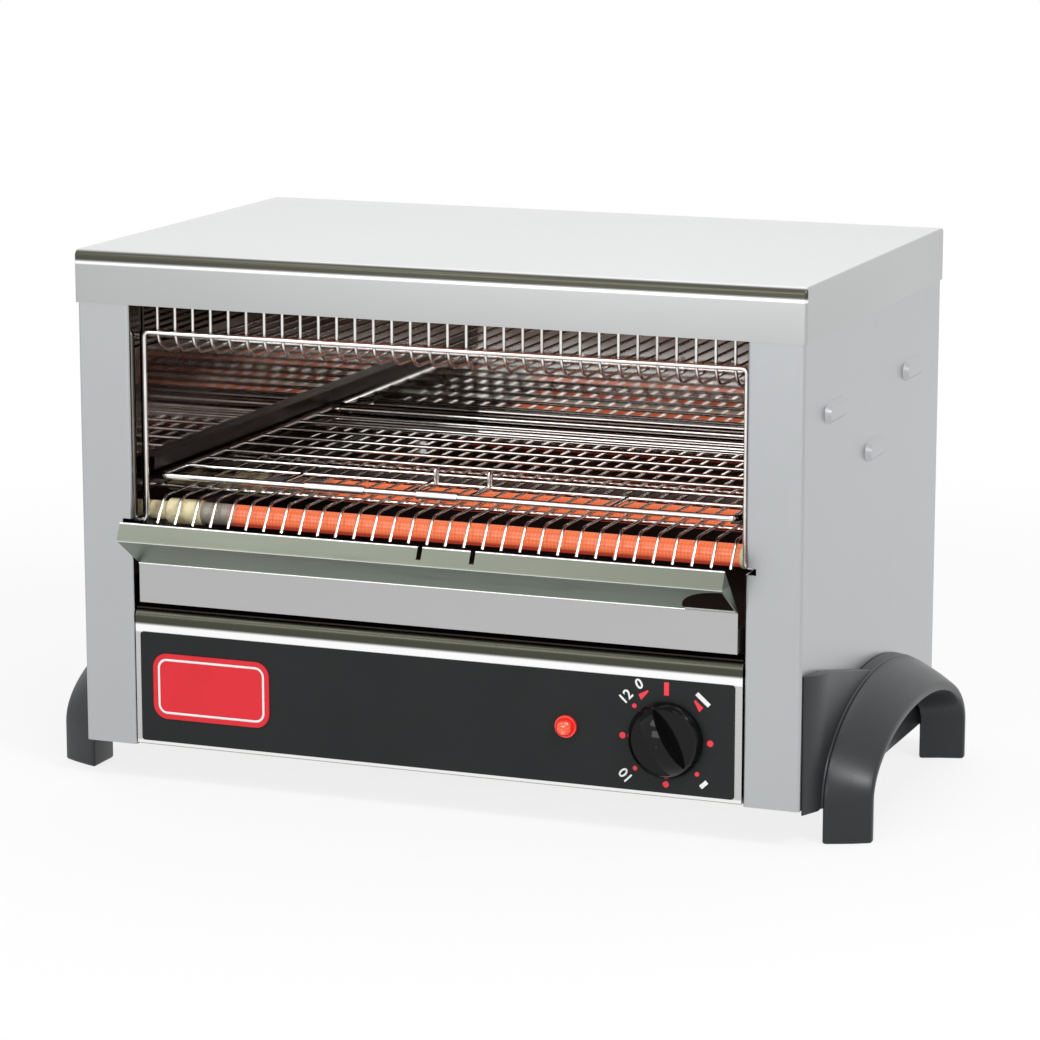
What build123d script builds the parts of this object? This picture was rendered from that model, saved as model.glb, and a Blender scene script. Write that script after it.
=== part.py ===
from build123d import *
import math
import os

# Open-front quartz bar toaster: folded sheet body, sliding wire rack, sliding crumb tray.
# Millimetres. X runs across the front, Y goes back from the plane of the front posts, Z is up
# from the underside of the body. Every node is moved by SHIFT at export, so the origin of the
# finished part is the centre of its bounding box in plan, at the level of the feet.

# ---- overall sizes -------------------------------------------------------------------------
W = 450.0                  # body width over the side panels
D = 281.0                  # body depth, posts to outside of the back panel
H = 298.5                  # body height, underside to cover top
FOOT_DROP = 24.0           # feet below the body
LIP_OUT = 29.0             # tray lip forward of the posts
GLAND_OUT = 5.0            # cable bushing proud of the back panel
SHIFT = Location((0, (LIP_OUT - D - GLAND_OUT) / 2, FOOT_DROP))

# ---- sheet and clearances ------------------------------------------------------------------
T = 0.8                    # body sheet
T_COVER = 1.0              # cover sheet
GAP = 0.3                  # between pieces that move against each other
TOUCH = 0.1                # between pieces of the body that rest against each other
FIT = 0.05                 # radial running clearance
BEND = 2.0                 # outside radius of the sheet bends

# ---- posts, side panels, cover -------------------------------------------------------------
POST_W = 33.5              # front face of a post
OPEN_X = W / 2 - POST_W    # half width between the post edges
POST_RETURN = 16.0         # inward return behind the post edge
FLANGE = 14.0              # panel flanges, top, bottom and rear
COVER_OVER = 0.8           # cover overhang
COVER_RIM = 31.5           # cover rim height
COVER_R = 4.0              # rounded front and side edges of the cover

# ---- pressed side louvres (centre y, centre z) ---------------------------------------------
LOUVRES = ((60.0, H - 77.5), (D - 61, H - 77.5), (D / 2 + 1.5, H - 113.5))
LOUVRE_L = 44.0
LOUVRE_H = 13.0
LOUVRE_OUT = 3.0
LOUVRE_SLOPE = 40.0        # degrees

# ---- rear and underside --------------------------------------------------------------------
VENT_N, VENT_W, VENT_H = 14, 4.0, 26.0
VENT_PITCH = (W - 138) / (VENT_N - 1)
VENT_Z = (60.0, H - 79)    # foot of the two rows
SLOT_N, SLOT_W, SLOT_L = 12, 5.0, 34.0
SLOT_PITCH = (W - 142) / (SLOT_N - 1)
SLOT_Y = (60.0, D - 104)
GLAND_X, GLAND_Z, GLAND_R = 75 - W / 2, 30.0, 9.0
GLAND_FLANGE_R, GLAND_BORE_R = 12.0, 5.0
BLOCK_X, BLOCK_Y = 50 - W / 2, D - 69      # near corner of the wiring block
BLOCK_W, BLOCK_D, BLOCK_H = 60.0, 24.0, 16.0
BACK_SCREW_IN = 9.0        # screw centres in from the side walls
BACK_SCREW_R = 1.8
BACK_SCREW_Z = (24.0, H / 2 - 10, H - 46)

# ---- control box ---------------------------------------------------------------------------
BOX_X = OPEN_X - 0.7       # half width of the fascia
BOX_TOP = 84.0
BOX_DEPTH = 22.0           # turned-in edges of the fascia
ROLL_R = 5.0               # rolled top edge of the fascia
LABEL_X0, LABEL_X1 = 3.3 - BOX_X, BOX_X - 4.3
LABEL_Z0, LABEL_Z1 = 3.5, BOX_TOP - 13.7
LABEL_T = 0.5
LABEL_R = 2.0
BADGE_X, BADGE_Z = 49.8 - BOX_X, 38.0
BADGE_W, BADGE_H, BADGE_T = 76.0, 40.0, 0.8
BADGE_R = 9.0
GROOVE_IN, GROOVE_W, GROOVE_T = 3.0, 1.5, 0.25
LAMP_X, LAMP_Z, LAMP_R = BOX_X - 106, 37.3, 6.5
LAMP_RIM = 1.6             # flat rim under the dome
LAMP_DOME_R = 5.6
LAMP_BODY_R = 4.8
KNOB_X, KNOB_Z = BOX_X - 45.1, 35.2
KNOB_R = 22.2
KNOB_OUT = 18.0            # knob front, from the label
KNOB_REST = 30.0           # pointer at rest, degrees left of upright
KNOB_BACK = 0.4            # knob back, from the label
KNOB_BAR = 9.0             # grip bar width
KNOB_LOW, KNOB_RIM = 3.6, 7.0              # where the skirt ends, where the dome starts
SHAFT_R = 3.0
BUSH_R = 4.75
TIMER_HALF, TIMER_BACK = 22.0, 27.0

# ---- chamber -------------------------------------------------------------------------------
SHELF_Z = BOX_TOP + GAP    # underside of the heat shield over the control box
LINER_X = OPEN_X - 1.5     # inner face of the side liners
LINER_Y0 = 17.0
REAR_LOW_Y = D - 59        # lower rear mirror
REAR_UP_Y = D - 6          # upper rear mirror
CEIL_Z = H - 12.3

# ---- quartz tubes --------------------------------------------------------------------------
TUBE_Y = (25.0, D - 163)   # front and rear tubes
TUBE_LOW_Z = SHELF_Z + 55.7
TUBE_UP_Z = H - 26.5
TUBE_R, TUBE_WALL = 6.5, 1.0
TUBE_X0, TUBE_X1 = 14 - LINER_X, LINER_X - 4
TAIL_X0, TAIL_X1 = TUBE_X0 + 8, TUBE_X1 - 3          # straight tails of the coil
COIL_X0, COIL_X1 = TUBE_X0 + 36, TUBE_X1 - 6
COIL_R, TAIL_R = 4.8, 0.8
CAP_R, CAP_X0, CAP_X1 = 7.5, TUBE_X0 - 3, TUBE_X0 + 20      # long cap at the left end
NECK_R = 5.5
COLLAR_X0 = TUBE_X1 - 4    # short collar at the right end
STUD_R, STUD_X = 2.0, LINER_X + 13

# ---- guards, frame wire --------------------------------------------------------------------
GUARD_N = 32
GUARD_PITCH = (2 * LINER_X - 20.4) / (GUARD_N - 1)
GUARD_R = 1.0
FRAME_X, FRAME_Y = OPEN_X - 4, 12.0
FRAME_R = 1.5
FRAME_TOP = H - 49.1       # top bar of the frame wire
HOOK_Z = TUBE_LOW_Z - 3.8  # frame wire ends, hooked into the posts
GUARD_LOW_Y, GUARD_UP_Y = 9.5, FRAME_Y + FRAME_R + GUARD_R + TOUCH     # front tips
GUARD_LOW_Z, GUARD_TIP_LOW = TUBE_LOW_Z + 9.5, TUBE_LOW_Z - 5.3
GUARD_UP_Z, GUARD_TIP_UP = TUBE_UP_Z - 35, TUBE_UP_Z
GUARD_LEAN = 10.0          # lower front legs lean back by this much
GUARD_LOW_BEND, GUARD_UP_BEND = 8.0, 14.0
ROD_R = 1.4
ROD_Y0 = 62.0              # front cross rod

# ---- rack and rails ------------------------------------------------------------------------
RACK_Z = GUARD_LOW_Z + 13.1
RACK_FRAME_R = 2.0
RAIL_FOOT = RACK_Z - RACK_FRAME_R - GAP    # rail foot, under the rack
LEDGE_Z = RAIL_FOOT - T - TOUCH            # ledge between the two rear mirrors
RACK_X = LINER_X - 9       # centre line of the side wires
RACK_Y0, RACK_Y1 = LINER_Y0, REAR_UP_Y - 6
RACK_WIRE_R = 1.3
RACK_ROWS = 8
RACK_ROW_Y0 = RACK_Y0 + 35 # second cross wire
LOOP_X, LOOP_H = 17.0, 9.5
LOOP_HALF, LOOP_R, LOOP_WIRE_R = 2.0, 1.9, 1.0
LINKS_X = (78 - RACK_X, -LOOP_X - 4, LOOP_X - 1, RACK_X - 78)
SLEEVES_X = ((-86.0, -48.0), (-15.0, 11.0))
RAIL_W, RAIL_LIP = 13.0, 6.0
RAIL_TOP = RACK_Z + 11.4
RAIL_OVER = 3.4            # lip above the rack's centre line

# ---- crumb tray ----------------------------------------------------------------------------
TRAY_T = 1.0
TRAY_X = LINER_X - 2.5     # half width
TRAY_Z0 = SHELF_Z + 4
TRAY_Y1 = REAR_LOW_Y - 4
TRAY_WALL = 14.0           # side and rear wall height
FACE_TOP = TRAY_Z0 + 23.7
LIP_LOW = (-LIP_OUT, FACE_TOP + 19)
LIP_TOP = (5 - LIP_OUT, FACE_TOP + 29)
RELIEF_R = 31.0            # quarter-round cut at the right end of the web
NOTCH_X = (4.3, 37.0)      # slots in the lip
NOTCH_W, NOTCH_H = 3.0, 7.0

# ---- feet (ellipses in the YZ plane, centre FOOT_Y) ----------------------------------------
FOOT_Y = D / 2 - 3.5
FOOT_IN = W / 2
FOOT_MID = FOOT_IN + 7     # crease between plate and band
FOOT_OUT = FOOT_IN + 33    # outer rim
CREASE = (FOOT_Y - 22, 61.0, FOOT_Y - 48, 28.0)    # outer a, b, inner a, b at the crease
RIM = (FOOT_Y - 34, 41.0, FOOT_Y - 39, 36.0)       # the same at the rim
FOOT_WALL = 3.0
FOOT_N = 36                # flats round each half ellipse
PLATE_Y, PLATE_EDGE = 4.0, 1.0             # front edge of the plate, thinned to this
PLATE_TAPER = 14.0         # length of the thinning
FOOT_LOW = -3.0            # lower edge of the plate and of the step behind the crease
FOOT_PLATE = ((PLATE_Y, FOOT_LOW), (PLATE_Y, 78), (40, 75), (73, 69), (112, 62.5), (149, 56))
FOOT_PLATE += ((D - 81, 40), (D - 34, 10), (D - 34, FOOT_LOW))
FOOT_SCREWS = ((24.0, 66.0), (24.0, 10.0), (FOOT_Y, 10.0))     # centres (y, z)
FOOT_SCREW_R = 2.0


# ---- helpers -------------------------------------------------------------------------------
def block(x0, x1, y0, y1, z0, z1):
    """Box between two corners."""
    centre = ((x0 + x1) / 2, (y0 + y1) / 2, (z0 + z1) / 2)
    return Pos(*centre) * Box(x1 - x0, y1 - y0, z1 - z0)


def rod_x(x0, x1, y, z, r):
    """Round bar along X."""
    return Pos((x0 + x1) / 2, y, z) * Rot(0, 90, 0) * Cylinder(r, x1 - x0)


def rod_y(x, y0, y1, z, r):
    """Round bar along Y."""
    return Pos(x, (y0 + y1) / 2, z) * Rot(90, 0, 0) * Cylinder(r, y1 - y0)


def rod_z(x, y, z0, z1, r):
    """Round bar along Z."""
    return Pos(x, y, (z0 + z1) / 2) * Cylinder(r, z1 - z0)


def slab_yz(points, x0, x1):
    """Flat outline given as (y, z) points, extruded along X."""
    face = make_face(Polyline(*[(0, y, z) for y, z in points], close=True))
    return Pos(x0, 0, 0) * extrude(face, amount=x1 - x0, dir=(1, 0, 0))


def mirror_x(shape):
    """The same piece on the other side of the body."""
    return mirror(shape, about=Plane.YZ)


def hexagon_wire(path, start, tangent, r):
    """Wire of hexagonal section, flat side up, swept along a planar path."""
    section = Plane(origin=start, x_dir=(1, 0, 0), z_dir=tangent) * RegularPolygon(r, 6, major_radius=False)
    return sweep(section, path=path)


def save(name, shape):
    """Write one node in the finished frame."""
    export_step(SHIFT * shape, f"parts/{name}.step")


# ---- body shell ----------------------------------------------------------------------------
def louvre(y, z):
    """Outward scoop: hood and the slot behind it, open towards the upper rear."""
    base = Plane(origin=(W / 2 - T / 2, y, z), x_dir=(0, 1, 0), z_dir=(1, 0, 0))
    rise = LOUVRE_OUT + T / 2
    hood = extrude(base * SlotOverall(LOUVRE_L, LOUVRE_H), amount=rise, taper=LOUVRE_SLOPE)
    inner_base = Plane(origin=(W / 2 - 2 * T, y, z), x_dir=(0, 1, 0), z_dir=(1, 0, 0))
    hollow_size = (LOUVRE_L - 2 * T, LOUVRE_H - 2 * T)
    hollow = extrude(inner_base * SlotOverall(*hollow_size), amount=LOUVRE_OUT + T, taper=LOUVRE_SLOPE)
    mouth = block(W / 2, W / 2 + 5, y + LOUVRE_L * 0.32, y + LOUVRE_L, z - LOUVRE_H, z + LOUVRE_H)
    return hood - mouth, hollow


def right_side_panel():
    """Post, side wall and flanges folded from one sheet, with three scoops."""
    outer = Rectangle(W / 2 - OPEN_X, D - T)
    inner = Rectangle(W / 2 - OPEN_X - 2 * T, D - 3 * T)
    centre = Pos((W / 2 + OPEN_X) / 2, (D - T) / 2)
    ring = fillet(outer.vertices(), BEND) - fillet(inner.vertices(), BEND - T)
    ring = centre * ring
    gap_y = (POST_RETURN + D) / 2
    ring -= Pos(OPEN_X, gap_y) * Rectangle(2 * FLANGE, D - POST_RETURN)
    ring -= Pos(OPEN_X, D) * Rectangle(2 * (W / 2 - OPEN_X - FLANGE), 6 * T)
    panel = extrude(ring, amount=H - T_COVER - T)
    panel += block(W / 2 - FLANGE, W / 2 - T / 2, BEND, D - 2 * BEND, H - T_COVER - T, H - T_COVER)
    panel += block(W / 2 - T, W / 2, BEND, D - 2 * BEND, H - T_COVER - 2 * T, H - T_COVER)
    panel += block(W / 2 - FLANGE, W / 2 - T / 2, BEND, D - 2 * BEND, 0, T)
    for y, z in LOUVRES:
        hood, hollow = louvre(y, z)
        panel = panel + hood - hollow
    slot = block(OPEN_X - 1, OPEN_X + 6.5, -1, FRAME_Y + 2, HOOK_Z - 1.7, HOOK_Z + 2.2)
    panel -= slot
    for y, z in FOOT_SCREWS:
        panel -= rod_x(W / 2 - 2 * T, W / 2 + T, y, z, FOOT_SCREW_R + TOUCH)
    for z in BACK_SCREW_Z:
        panel -= rod_y(W / 2 - BACK_SCREW_IN, D - 3 * T, D, z, BACK_SCREW_R + TOUCH)
    return panel


def top_cover():
    """Lid with a down-turned rim all round, rounded along its upper edges."""
    x = W / 2 + COVER_OVER
    y0, y1 = -COVER_OVER, D + COVER_OVER
    z0 = H - COVER_RIM
    outer = block(-x, x, y0, y1, z0, H)
    outer = fillet(outer.edges().filter_by(Axis.Z), BEND)
    outer = fillet(outer.faces().sort_by(Axis.Z)[-1].edges(), COVER_R * 0.45)
    t = COVER_OVER - TOUCH / 2
    inner = block(-x + t, x - t, y0 + t, y1 - t, z0 - 1, H - T_COVER)
    return outer - inner


def back_panel():
    """Rear sheet with two rows of vent slots and the cable hole."""
    panel = block(-W / 2 + BEND, W / 2 - BEND, D - T, D, T, H - COVER_RIM - 2)
    for i in range(VENT_N):
        for z in VENT_Z:
            x = (i - (VENT_N - 1) / 2) * VENT_PITCH
            panel -= block(x - VENT_W / 2, x + VENT_W / 2, D - 2 * T, D + T, z, z + VENT_H)
    panel -= rod_y(GLAND_X, D - 2 * T, D + T, GLAND_Z, GLAND_R)
    for x, z in back_screw_places():
        panel -= rod_y(x, D - 2 * T, D + T, z, BACK_SCREW_R + TOUCH)
    return panel


def post_corners():
    """The two upright spaces behind the posts, clear of every flat sheet."""
    right = block(OPEN_X - 1, W / 2, 0, POST_RETURN + 1, -1, H)
    return right + mirror_x(right)


def base_plate():
    """Bottom sheet on the panel flanges, with vent slots and two turned-up edges."""
    x = W / 2 - T - TOUCH
    plate = block(-x, x, T + TOUCH, D - 2 * BEND, T, 2 * T) - post_corners()
    for i in range(SLOT_N):
        for y in SLOT_Y:
            x0 = (i - (SLOT_N - 1) / 2) * SLOT_PITCH - SLOT_W / 2
            plate -= block(x0, x0 + SLOT_W, y, y + SLOT_L, 0, 3 * T)
    return plate


# ---- control box ---------------------------------------------------------------------------
def control_fascia():
    """Front sheet of the control box with a rolled top edge and turned-in ends."""
    outer = block(-BOX_X, BOX_X, 0, BOX_DEPTH, 2 * T, BOX_TOP)
    top_front = outer.edges().filter_by(Axis.X).sort_by(Axis.Z)[-2:].sort_by(Axis.Y)[0]
    outer = fillet(top_front, ROLL_R)
    inner = block(-BOX_X + T, BOX_X - T, T, BOX_DEPTH + 1, T, BOX_TOP - T)
    inner_edge = inner.edges().filter_by(Axis.X).sort_by(Axis.Z)[-2:].sort_by(Axis.Y)[0]
    inner = fillet(inner_edge, ROLL_R - T)
    fascia = outer - inner
    fascia -= rod_y(KNOB_X, -1, 2, KNOB_Z, BUSH_R + 0.3)
    fascia -= rod_y(LAMP_X, -1, 2, LAMP_Z, LAMP_BODY_R + 0.1)
    return fascia


def control_label():
    """Thin black face of the control box."""
    w, h = LABEL_X1 - LABEL_X0, LABEL_Z1 - LABEL_Z0
    centre = (LABEL_X0 + w / 2, 0, LABEL_Z0 + h / 2)
    plane = Plane(origin=centre, x_dir=(1, 0, 0), z_dir=(0, -1, 0))
    label = extrude(plane * RectangleRounded(w, h, LABEL_R), amount=LABEL_T)
    label -= rod_y(KNOB_X, -2, 1, KNOB_Z, BUSH_R + 0.3)
    label -= rod_y(LAMP_X, -2, 1, LAMP_Z, LAMP_BODY_R + 0.1)
    return label


def badge_plate():
    """Plain raised plate with rounded ends and a shallow groove inside its edge."""
    plane = Plane(origin=(BADGE_X, -LABEL_T, BADGE_Z), x_dir=(1, 0, 0), z_dir=(0, -1, 0))
    plate = extrude(plane * RectangleRounded(BADGE_W, BADGE_H, BADGE_R), amount=BADGE_T)
    rings = []
    for inset in (GROOVE_IN, GROOVE_IN + GROOVE_W):
        size = (BADGE_W - 2 * inset, BADGE_H - 2 * inset)
        rings.append(RectangleRounded(*size, BADGE_R - inset))
    groove = rings[0] - rings[1]
    cut_y = GROOVE_T - LABEL_T - BADGE_T
    cut_plane = Plane(origin=(BADGE_X, cut_y, BADGE_Z), x_dir=(1, 0, 0), z_dir=(0, -1, 0))
    return plate - extrude(cut_plane * groove, amount=1)


def pilot_lamp_lens():
    """Low dome with a flat rim."""
    edge = -LABEL_T - LAMP_RIM
    rim = rod_y(LAMP_X, edge, -LABEL_T, LAMP_Z, LAMP_R)
    dome = Pos(LAMP_X, edge, LAMP_Z) * Sphere(LAMP_DOME_R)
    return rim + (dome & rod_y(LAMP_X, edge - LAMP_DOME_R, edge, LAMP_Z, LAMP_R))


def pilot_lamp_body():
    """Barrel through the fascia with a push nut and two tags behind."""
    body = rod_y(LAMP_X, -LABEL_T, BOX_DEPTH, LAMP_Z, LAMP_BODY_R)
    body += rod_y(LAMP_X, T, 3, LAMP_Z, 7.5)
    for dx in (-2.2, 2.2):
        x0, x1 = LAMP_X + dx - 0.4, LAMP_X + dx + 0.4
        body += block(x0, x1, BOX_DEPTH - 1, BOX_DEPTH + 8, LAMP_Z - 1.6, LAMP_Z + 1.6)
    return body


def timer_knob():
    """Domed knob with a raised grip bar between two scooped sides, recessed at the back."""
    rim, low, high = KNOB_R - 1.7, KNOB_LOW, KNOB_RIM
    ball = (rim**2 + (KNOB_OUT - high) ** 2) / (2 * (KNOB_OUT - high))
    mid = KNOB_OUT - ball + math.sqrt(ball**2 - (rim / 2) ** 2)
    edge = Polyline((0, KNOB_OUT), (0, KNOB_BACK), (KNOB_R, KNOB_BACK), (KNOB_R, low), (rim, high))
    dome = ThreePointArc((rim, high), (rim / 2, mid), (0, KNOB_OUT))
    body = revolve(make_face(edge + dome), Axis.Y)
    body = Rot(90, 0, 0) * body
    well = Circle(KNOB_R - 2.8)
    for side in (-1, 1):
        half = well & (Pos(side * (KNOB_R + KNOB_BAR / 2), 0) * Rectangle(2 * KNOB_R, 3 * KNOB_R))
        body -= Pos(0, 0, high) * extrude(half, amount=KNOB_OUT)
    body -= Pos(0, 0, 3) * Cylinder(10, 2 * (6.4 - 3))
    body -= Pos(0, 0, 6) * Cylinder(SHAFT_R, 12)
    face = Plane(origin=(KNOB_X, -LABEL_T, KNOB_Z), x_dir=(1, 0, 0), z_dir=(0, -1, 0))
    return face.location * Rot(0, 0, KNOB_REST) * body


def timer_shaft():
    """Spindle carried in the knob."""
    return rod_y(KNOB_X, -LABEL_T - 12, 16, KNOB_Z, SHAFT_R)


def timer_case():
    """Clockwork housing behind the fascia with a threaded bushing."""
    x, z = KNOB_X, KNOB_Z
    half = TIMER_HALF
    case = block(x - half, x + half, T, TIMER_BACK, z - half, z + half)
    case = fillet(case.edges().filter_by(Axis.Y), 3.0)
    case += rod_y(x, -LABEL_T - 3.4, T + 1, z, BUSH_R)
    case -= rod_y(x, -LABEL_T - 5, 16.5, z, SHAFT_R + FIT)
    for dx in (-12, 0, 12):
        case += block(x + dx - 0.4, x + dx + 0.4, TIMER_BACK - 1, TIMER_BACK + 8, z - 18, z - 12)
    return case


def timer_nut():
    """Thin hexagon nut on the bushing."""
    plane = Plane(origin=(KNOB_X, -LABEL_T, KNOB_Z), x_dir=(1, 0, 0), z_dir=(0, -1, 0))
    nut = extrude(plane * RegularPolygon(7.0, 6, major_radius=False), amount=2.4)
    return nut - rod_y(KNOB_X, -6, 1, KNOB_Z, BUSH_R + TOUCH / 2)


# ---- chamber sheets ------------------------------------------------------------------------
def heat_shield():
    """Shelf over the control box, flanged down against both side panels."""
    x = W / 2 - T - TOUCH / 2
    shield = block(-x, x, 1.5, D - 2 * BEND, SHELF_Z, SHELF_Z + T) - post_corners()
    for side in (-1, 1):
        flange = block(x - T, x, POST_RETURN + 2, D - 4, SHELF_Z - 12, SHELF_Z + T / 2)
        shield += flange if side > 0 else mirror_x(flange)
    return shield


def right_liner():
    """Polished side wall of the chamber, with holes for the tube studs."""
    liner = block(LINER_X, LINER_X + T, LINER_Y0, D - 4 * T, SHELF_Z + T, CEIL_Z)
    for y in TUBE_Y:
        for z in (TUBE_LOW_Z, TUBE_UP_Z):
            liner -= rod_x(LINER_X - 1, LINER_X + 2, y, z, STUD_R + 0.5)
    return liner


def rear_reflector():
    """One bent sheet: low mirror, ledge at rack height, upper mirror set further back."""
    pts = [(REAR_LOW_Y, SHELF_Z + T), (REAR_LOW_Y, LEDGE_Z), (REAR_UP_Y, LEDGE_Z), (REAR_UP_Y, CEIL_Z)]
    pts += [(REAR_UP_Y + T, CEIL_Z), (REAR_UP_Y + T, LEDGE_Z - T), (REAR_LOW_Y + T, LEDGE_Z - T)]
    pts += [(REAR_LOW_Y + T, SHELF_Z + T)]
    return slab_yz(pts, -LINER_X + TOUCH, LINER_X - TOUCH)


def ceiling_reflector():
    """Polished sheet over the chamber, resting on the liners."""
    x = W / 2 - T - TOUCH
    return block(-x, x, POST_RETURN + 1, D - 4 * T, CEIL_Z, CEIL_Z + T)


# ---- heating -------------------------------------------------------------------------------
def quartz_tube(y, z):
    """Open glass tube."""
    bore = rod_x(TUBE_X0 - 1, TUBE_X1 + 1, y, z, TUBE_R - TUBE_WALL)
    return rod_x(TUBE_X0, TUBE_X1, y, z, TUBE_R) - bore


def heating_coil(y, z):
    """Wound element as a plain core with two straight tails."""
    return rod_x(COIL_X0, COIL_X1, y, z, COIL_R) + rod_x(TAIL_X0, TAIL_X1, y, z, TAIL_R)


def ceramic_caps(z):
    """Stepped ceramic caps and short collars of both tubes of one level."""
    caps = []
    for y in TUBE_Y:
        bore = rod_x(TUBE_X0 - TOUCH, TUBE_X1 + TOUCH, y, z, TUBE_R + FIT)
        bore += rod_x(-LINER_X - 1, LINER_X + 1, y, z, STUD_R + FIT)
        cap = rod_x(CAP_X0, CAP_X1, y, z, CAP_R) + rod_x(TOUCH - LINER_X, CAP_X0 + 1, y, z, NECK_R)
        collar = rod_x(COLLAR_X0, LINER_X - TOUCH, y, z, CAP_R)
        caps += [cap - bore, collar - bore]
    return Compound(children=caps)


def terminal_studs(z):
    """Threaded studs through caps and liners, each with its nut."""
    studs = []
    for y in TUBE_Y:
        nut_plane = Plane(origin=(LINER_X + T + TOUCH, y, z), z_dir=(1, 0, 0))
        nut = extrude(nut_plane * RegularPolygon(3.5, 6, major_radius=False), amount=3.2)
        left = nut + rod_x(TOUCH - TAIL_X0, STUD_X, y, z, STUD_R)
        right = nut + rod_x(TAIL_X1 + TOUCH, STUD_X, y, z, STUD_R)
        studs += [mirror_x(left), right]
    return Compound(children=studs)


# ---- wire work -----------------------------------------------------------------------------
def guard(points, radius, side, rods):
    """Grille of parallel wires, bent along (y, z) points, welded to cross rods on one side."""
    path = FilletPolyline(*[(0, y, z) for y, z in points], radius=radius)
    z = points[-1][1]
    wire = hexagon_wire(path, path @ 0, path % 0, GUARD_R)
    rod_z_pos = z + side * (GUARD_R + ROD_R - 0.15)
    wires = [Pos((i - (GUARD_N - 1) / 2) * GUARD_PITCH, 0, 0) * wire for i in range(GUARD_N)]
    bars = []
    for y in rods:
        plane = Plane(origin=(-LINER_X + TOUCH, y, rod_z_pos), x_dir=(0, 1, 0), z_dir=(1, 0, 0))
        section = plane * RegularPolygon(ROD_R, 6, major_radius=False)
        bars.append(extrude(section, amount=2 * (LINER_X - TOUCH)))
    return bars[0].fuse(*bars[1:], *wires)


def lower_guard():
    """Wires over the lower tubes, front legs leaning back."""
    y = GUARD_LOW_Y + GUARD_LEAN
    points = [(GUARD_LOW_Y, GUARD_TIP_LOW), (y, GUARD_LOW_Z), (REAR_LOW_Y - 1.5, GUARD_LOW_Z)]
    return guard(points, GUARD_LOW_BEND, -1, (ROD_Y0, REAR_LOW_Y - 57))


def upper_guard():
    """Wires under the upper tubes, front legs upright behind the frame wire."""
    points = [(GUARD_UP_Y, GUARD_TIP_UP), (GUARD_UP_Y, GUARD_UP_Z), (REAR_UP_Y - 1.5, GUARD_UP_Z)]
    return guard(points, GUARD_UP_BEND, 1, (ROD_Y0, REAR_UP_Y - 56))


def front_frame_wire():
    """Bent wire round the window, its two ends hooked outwards into the posts."""
    x_end = OPEN_X + 5
    points = [(-x_end, FRAME_Y, HOOK_Z), (-FRAME_X, FRAME_Y, HOOK_Z), (-FRAME_X, FRAME_Y, FRAME_TOP)]
    points += [(FRAME_X, FRAME_Y, FRAME_TOP), (FRAME_X, FRAME_Y, HOOK_Z), (x_end, FRAME_Y, HOOK_Z)]
    path = FilletPolyline(*points, radius=3.0)
    section = Plane(origin=path @ 0, z_dir=path % 0) * RegularPolygon(FRAME_R, 8, major_radius=False)
    return sweep(section, path=path)


def rack_loop(x):
    """Small upright eye on the second cross wire."""
    z0, z1 = RACK_Z, RACK_Z + LOOP_H
    ys = (RACK_ROW_Y0 - LOOP_HALF, RACK_ROW_Y0 + LOOP_HALF)
    points = [(x, ys[0], z0), (x, ys[0], z1), (x, ys[1], z1), (x, ys[1], z0)]
    path = FilletPolyline(*points, radius=LOOP_R)
    section = Plane(origin=path @ 0, z_dir=path % 0) * RegularPolygon(LOOP_WIRE_R, 6, major_radius=False)
    return sweep(section, path=path)


def toast_rack():
    """Round outer loop, cross wires, short front links and the two handle eyes."""
    corners = [(0, RACK_Y0), (RACK_X, RACK_Y0), (RACK_X, RACK_Y1), (0, RACK_Y1)]
    path = FilletPolyline(*[(x, y, RACK_Z) for x, y in corners], radius=6.0)
    section = Plane(origin=path @ 0, z_dir=path % 0) * RegularPolygon(RACK_FRAME_R, 10, major_radius=False)
    half = sweep(section, path=path)
    rack = half + mirror_x(half)
    pieces = []
    pitch = (RACK_Y1 - RACK_ROW_Y0) / RACK_ROWS
    for i in range(RACK_ROWS):
        plane = Plane(origin=(-RACK_X, RACK_ROW_Y0 + i * pitch, RACK_Z), x_dir=(0, 1, 0), z_dir=(1, 0, 0))
        pieces.append(extrude(plane * RegularPolygon(RACK_WIRE_R, 8, major_radius=False), amount=2 * RACK_X))
    for x in LINKS_X:
        plane = Plane(origin=(x, RACK_Y0, RACK_Z), x_dir=(1, 0, 0), z_dir=(0, 1, 0))
        link = plane * RegularPolygon(RACK_WIRE_R, 8, major_radius=False)
        pieces.append(extrude(link, amount=RACK_ROW_Y0 - RACK_Y0))
    pieces += [rack_loop(-LOOP_X), rack_loop(LOOP_X)]
    return rack.fuse(*pieces)


def rack_sleeves():
    """Two tubular sleeves clamped on the front bar for the lifting handle."""
    sleeves = []
    for x0, x1 in SLEEVES_X:
        sleeve = rod_x(x0, x1, RACK_Y0, RACK_Z, RACK_FRAME_R + 1.0)
        sleeves.append(sleeve - rod_x(x0 - 1, x1 + 1, RACK_Y0, RACK_Z, RACK_FRAME_R * 1.06))
    return Compound(children=sleeves)


def left_rack_rail():
    """Channel on the side liner: foot under the rack, turned-down lip over it."""
    z0 = RAIL_FOOT
    pts = [(0, z0 - T), (RAIL_W, z0 - T), (RAIL_W, z0), (T, z0), (T, RAIL_TOP - T)]
    pts += [(RAIL_LIP - T, RAIL_TOP - T), (RAIL_LIP - T, RACK_Z + RAIL_OVER), (RAIL_LIP, RACK_Z + RAIL_OVER)]
    pts += [(RAIL_LIP, RAIL_TOP), (0, RAIL_TOP)]
    face = make_face(Polyline(*[(-LINER_X + w, 0, z) for w, z in pts], close=True))
    return Pos(0, LINER_Y0, 0) * extrude(face, amount=REAR_UP_Y - LINER_Y0 - TOUCH, dir=(0, 1, 0))


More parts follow.
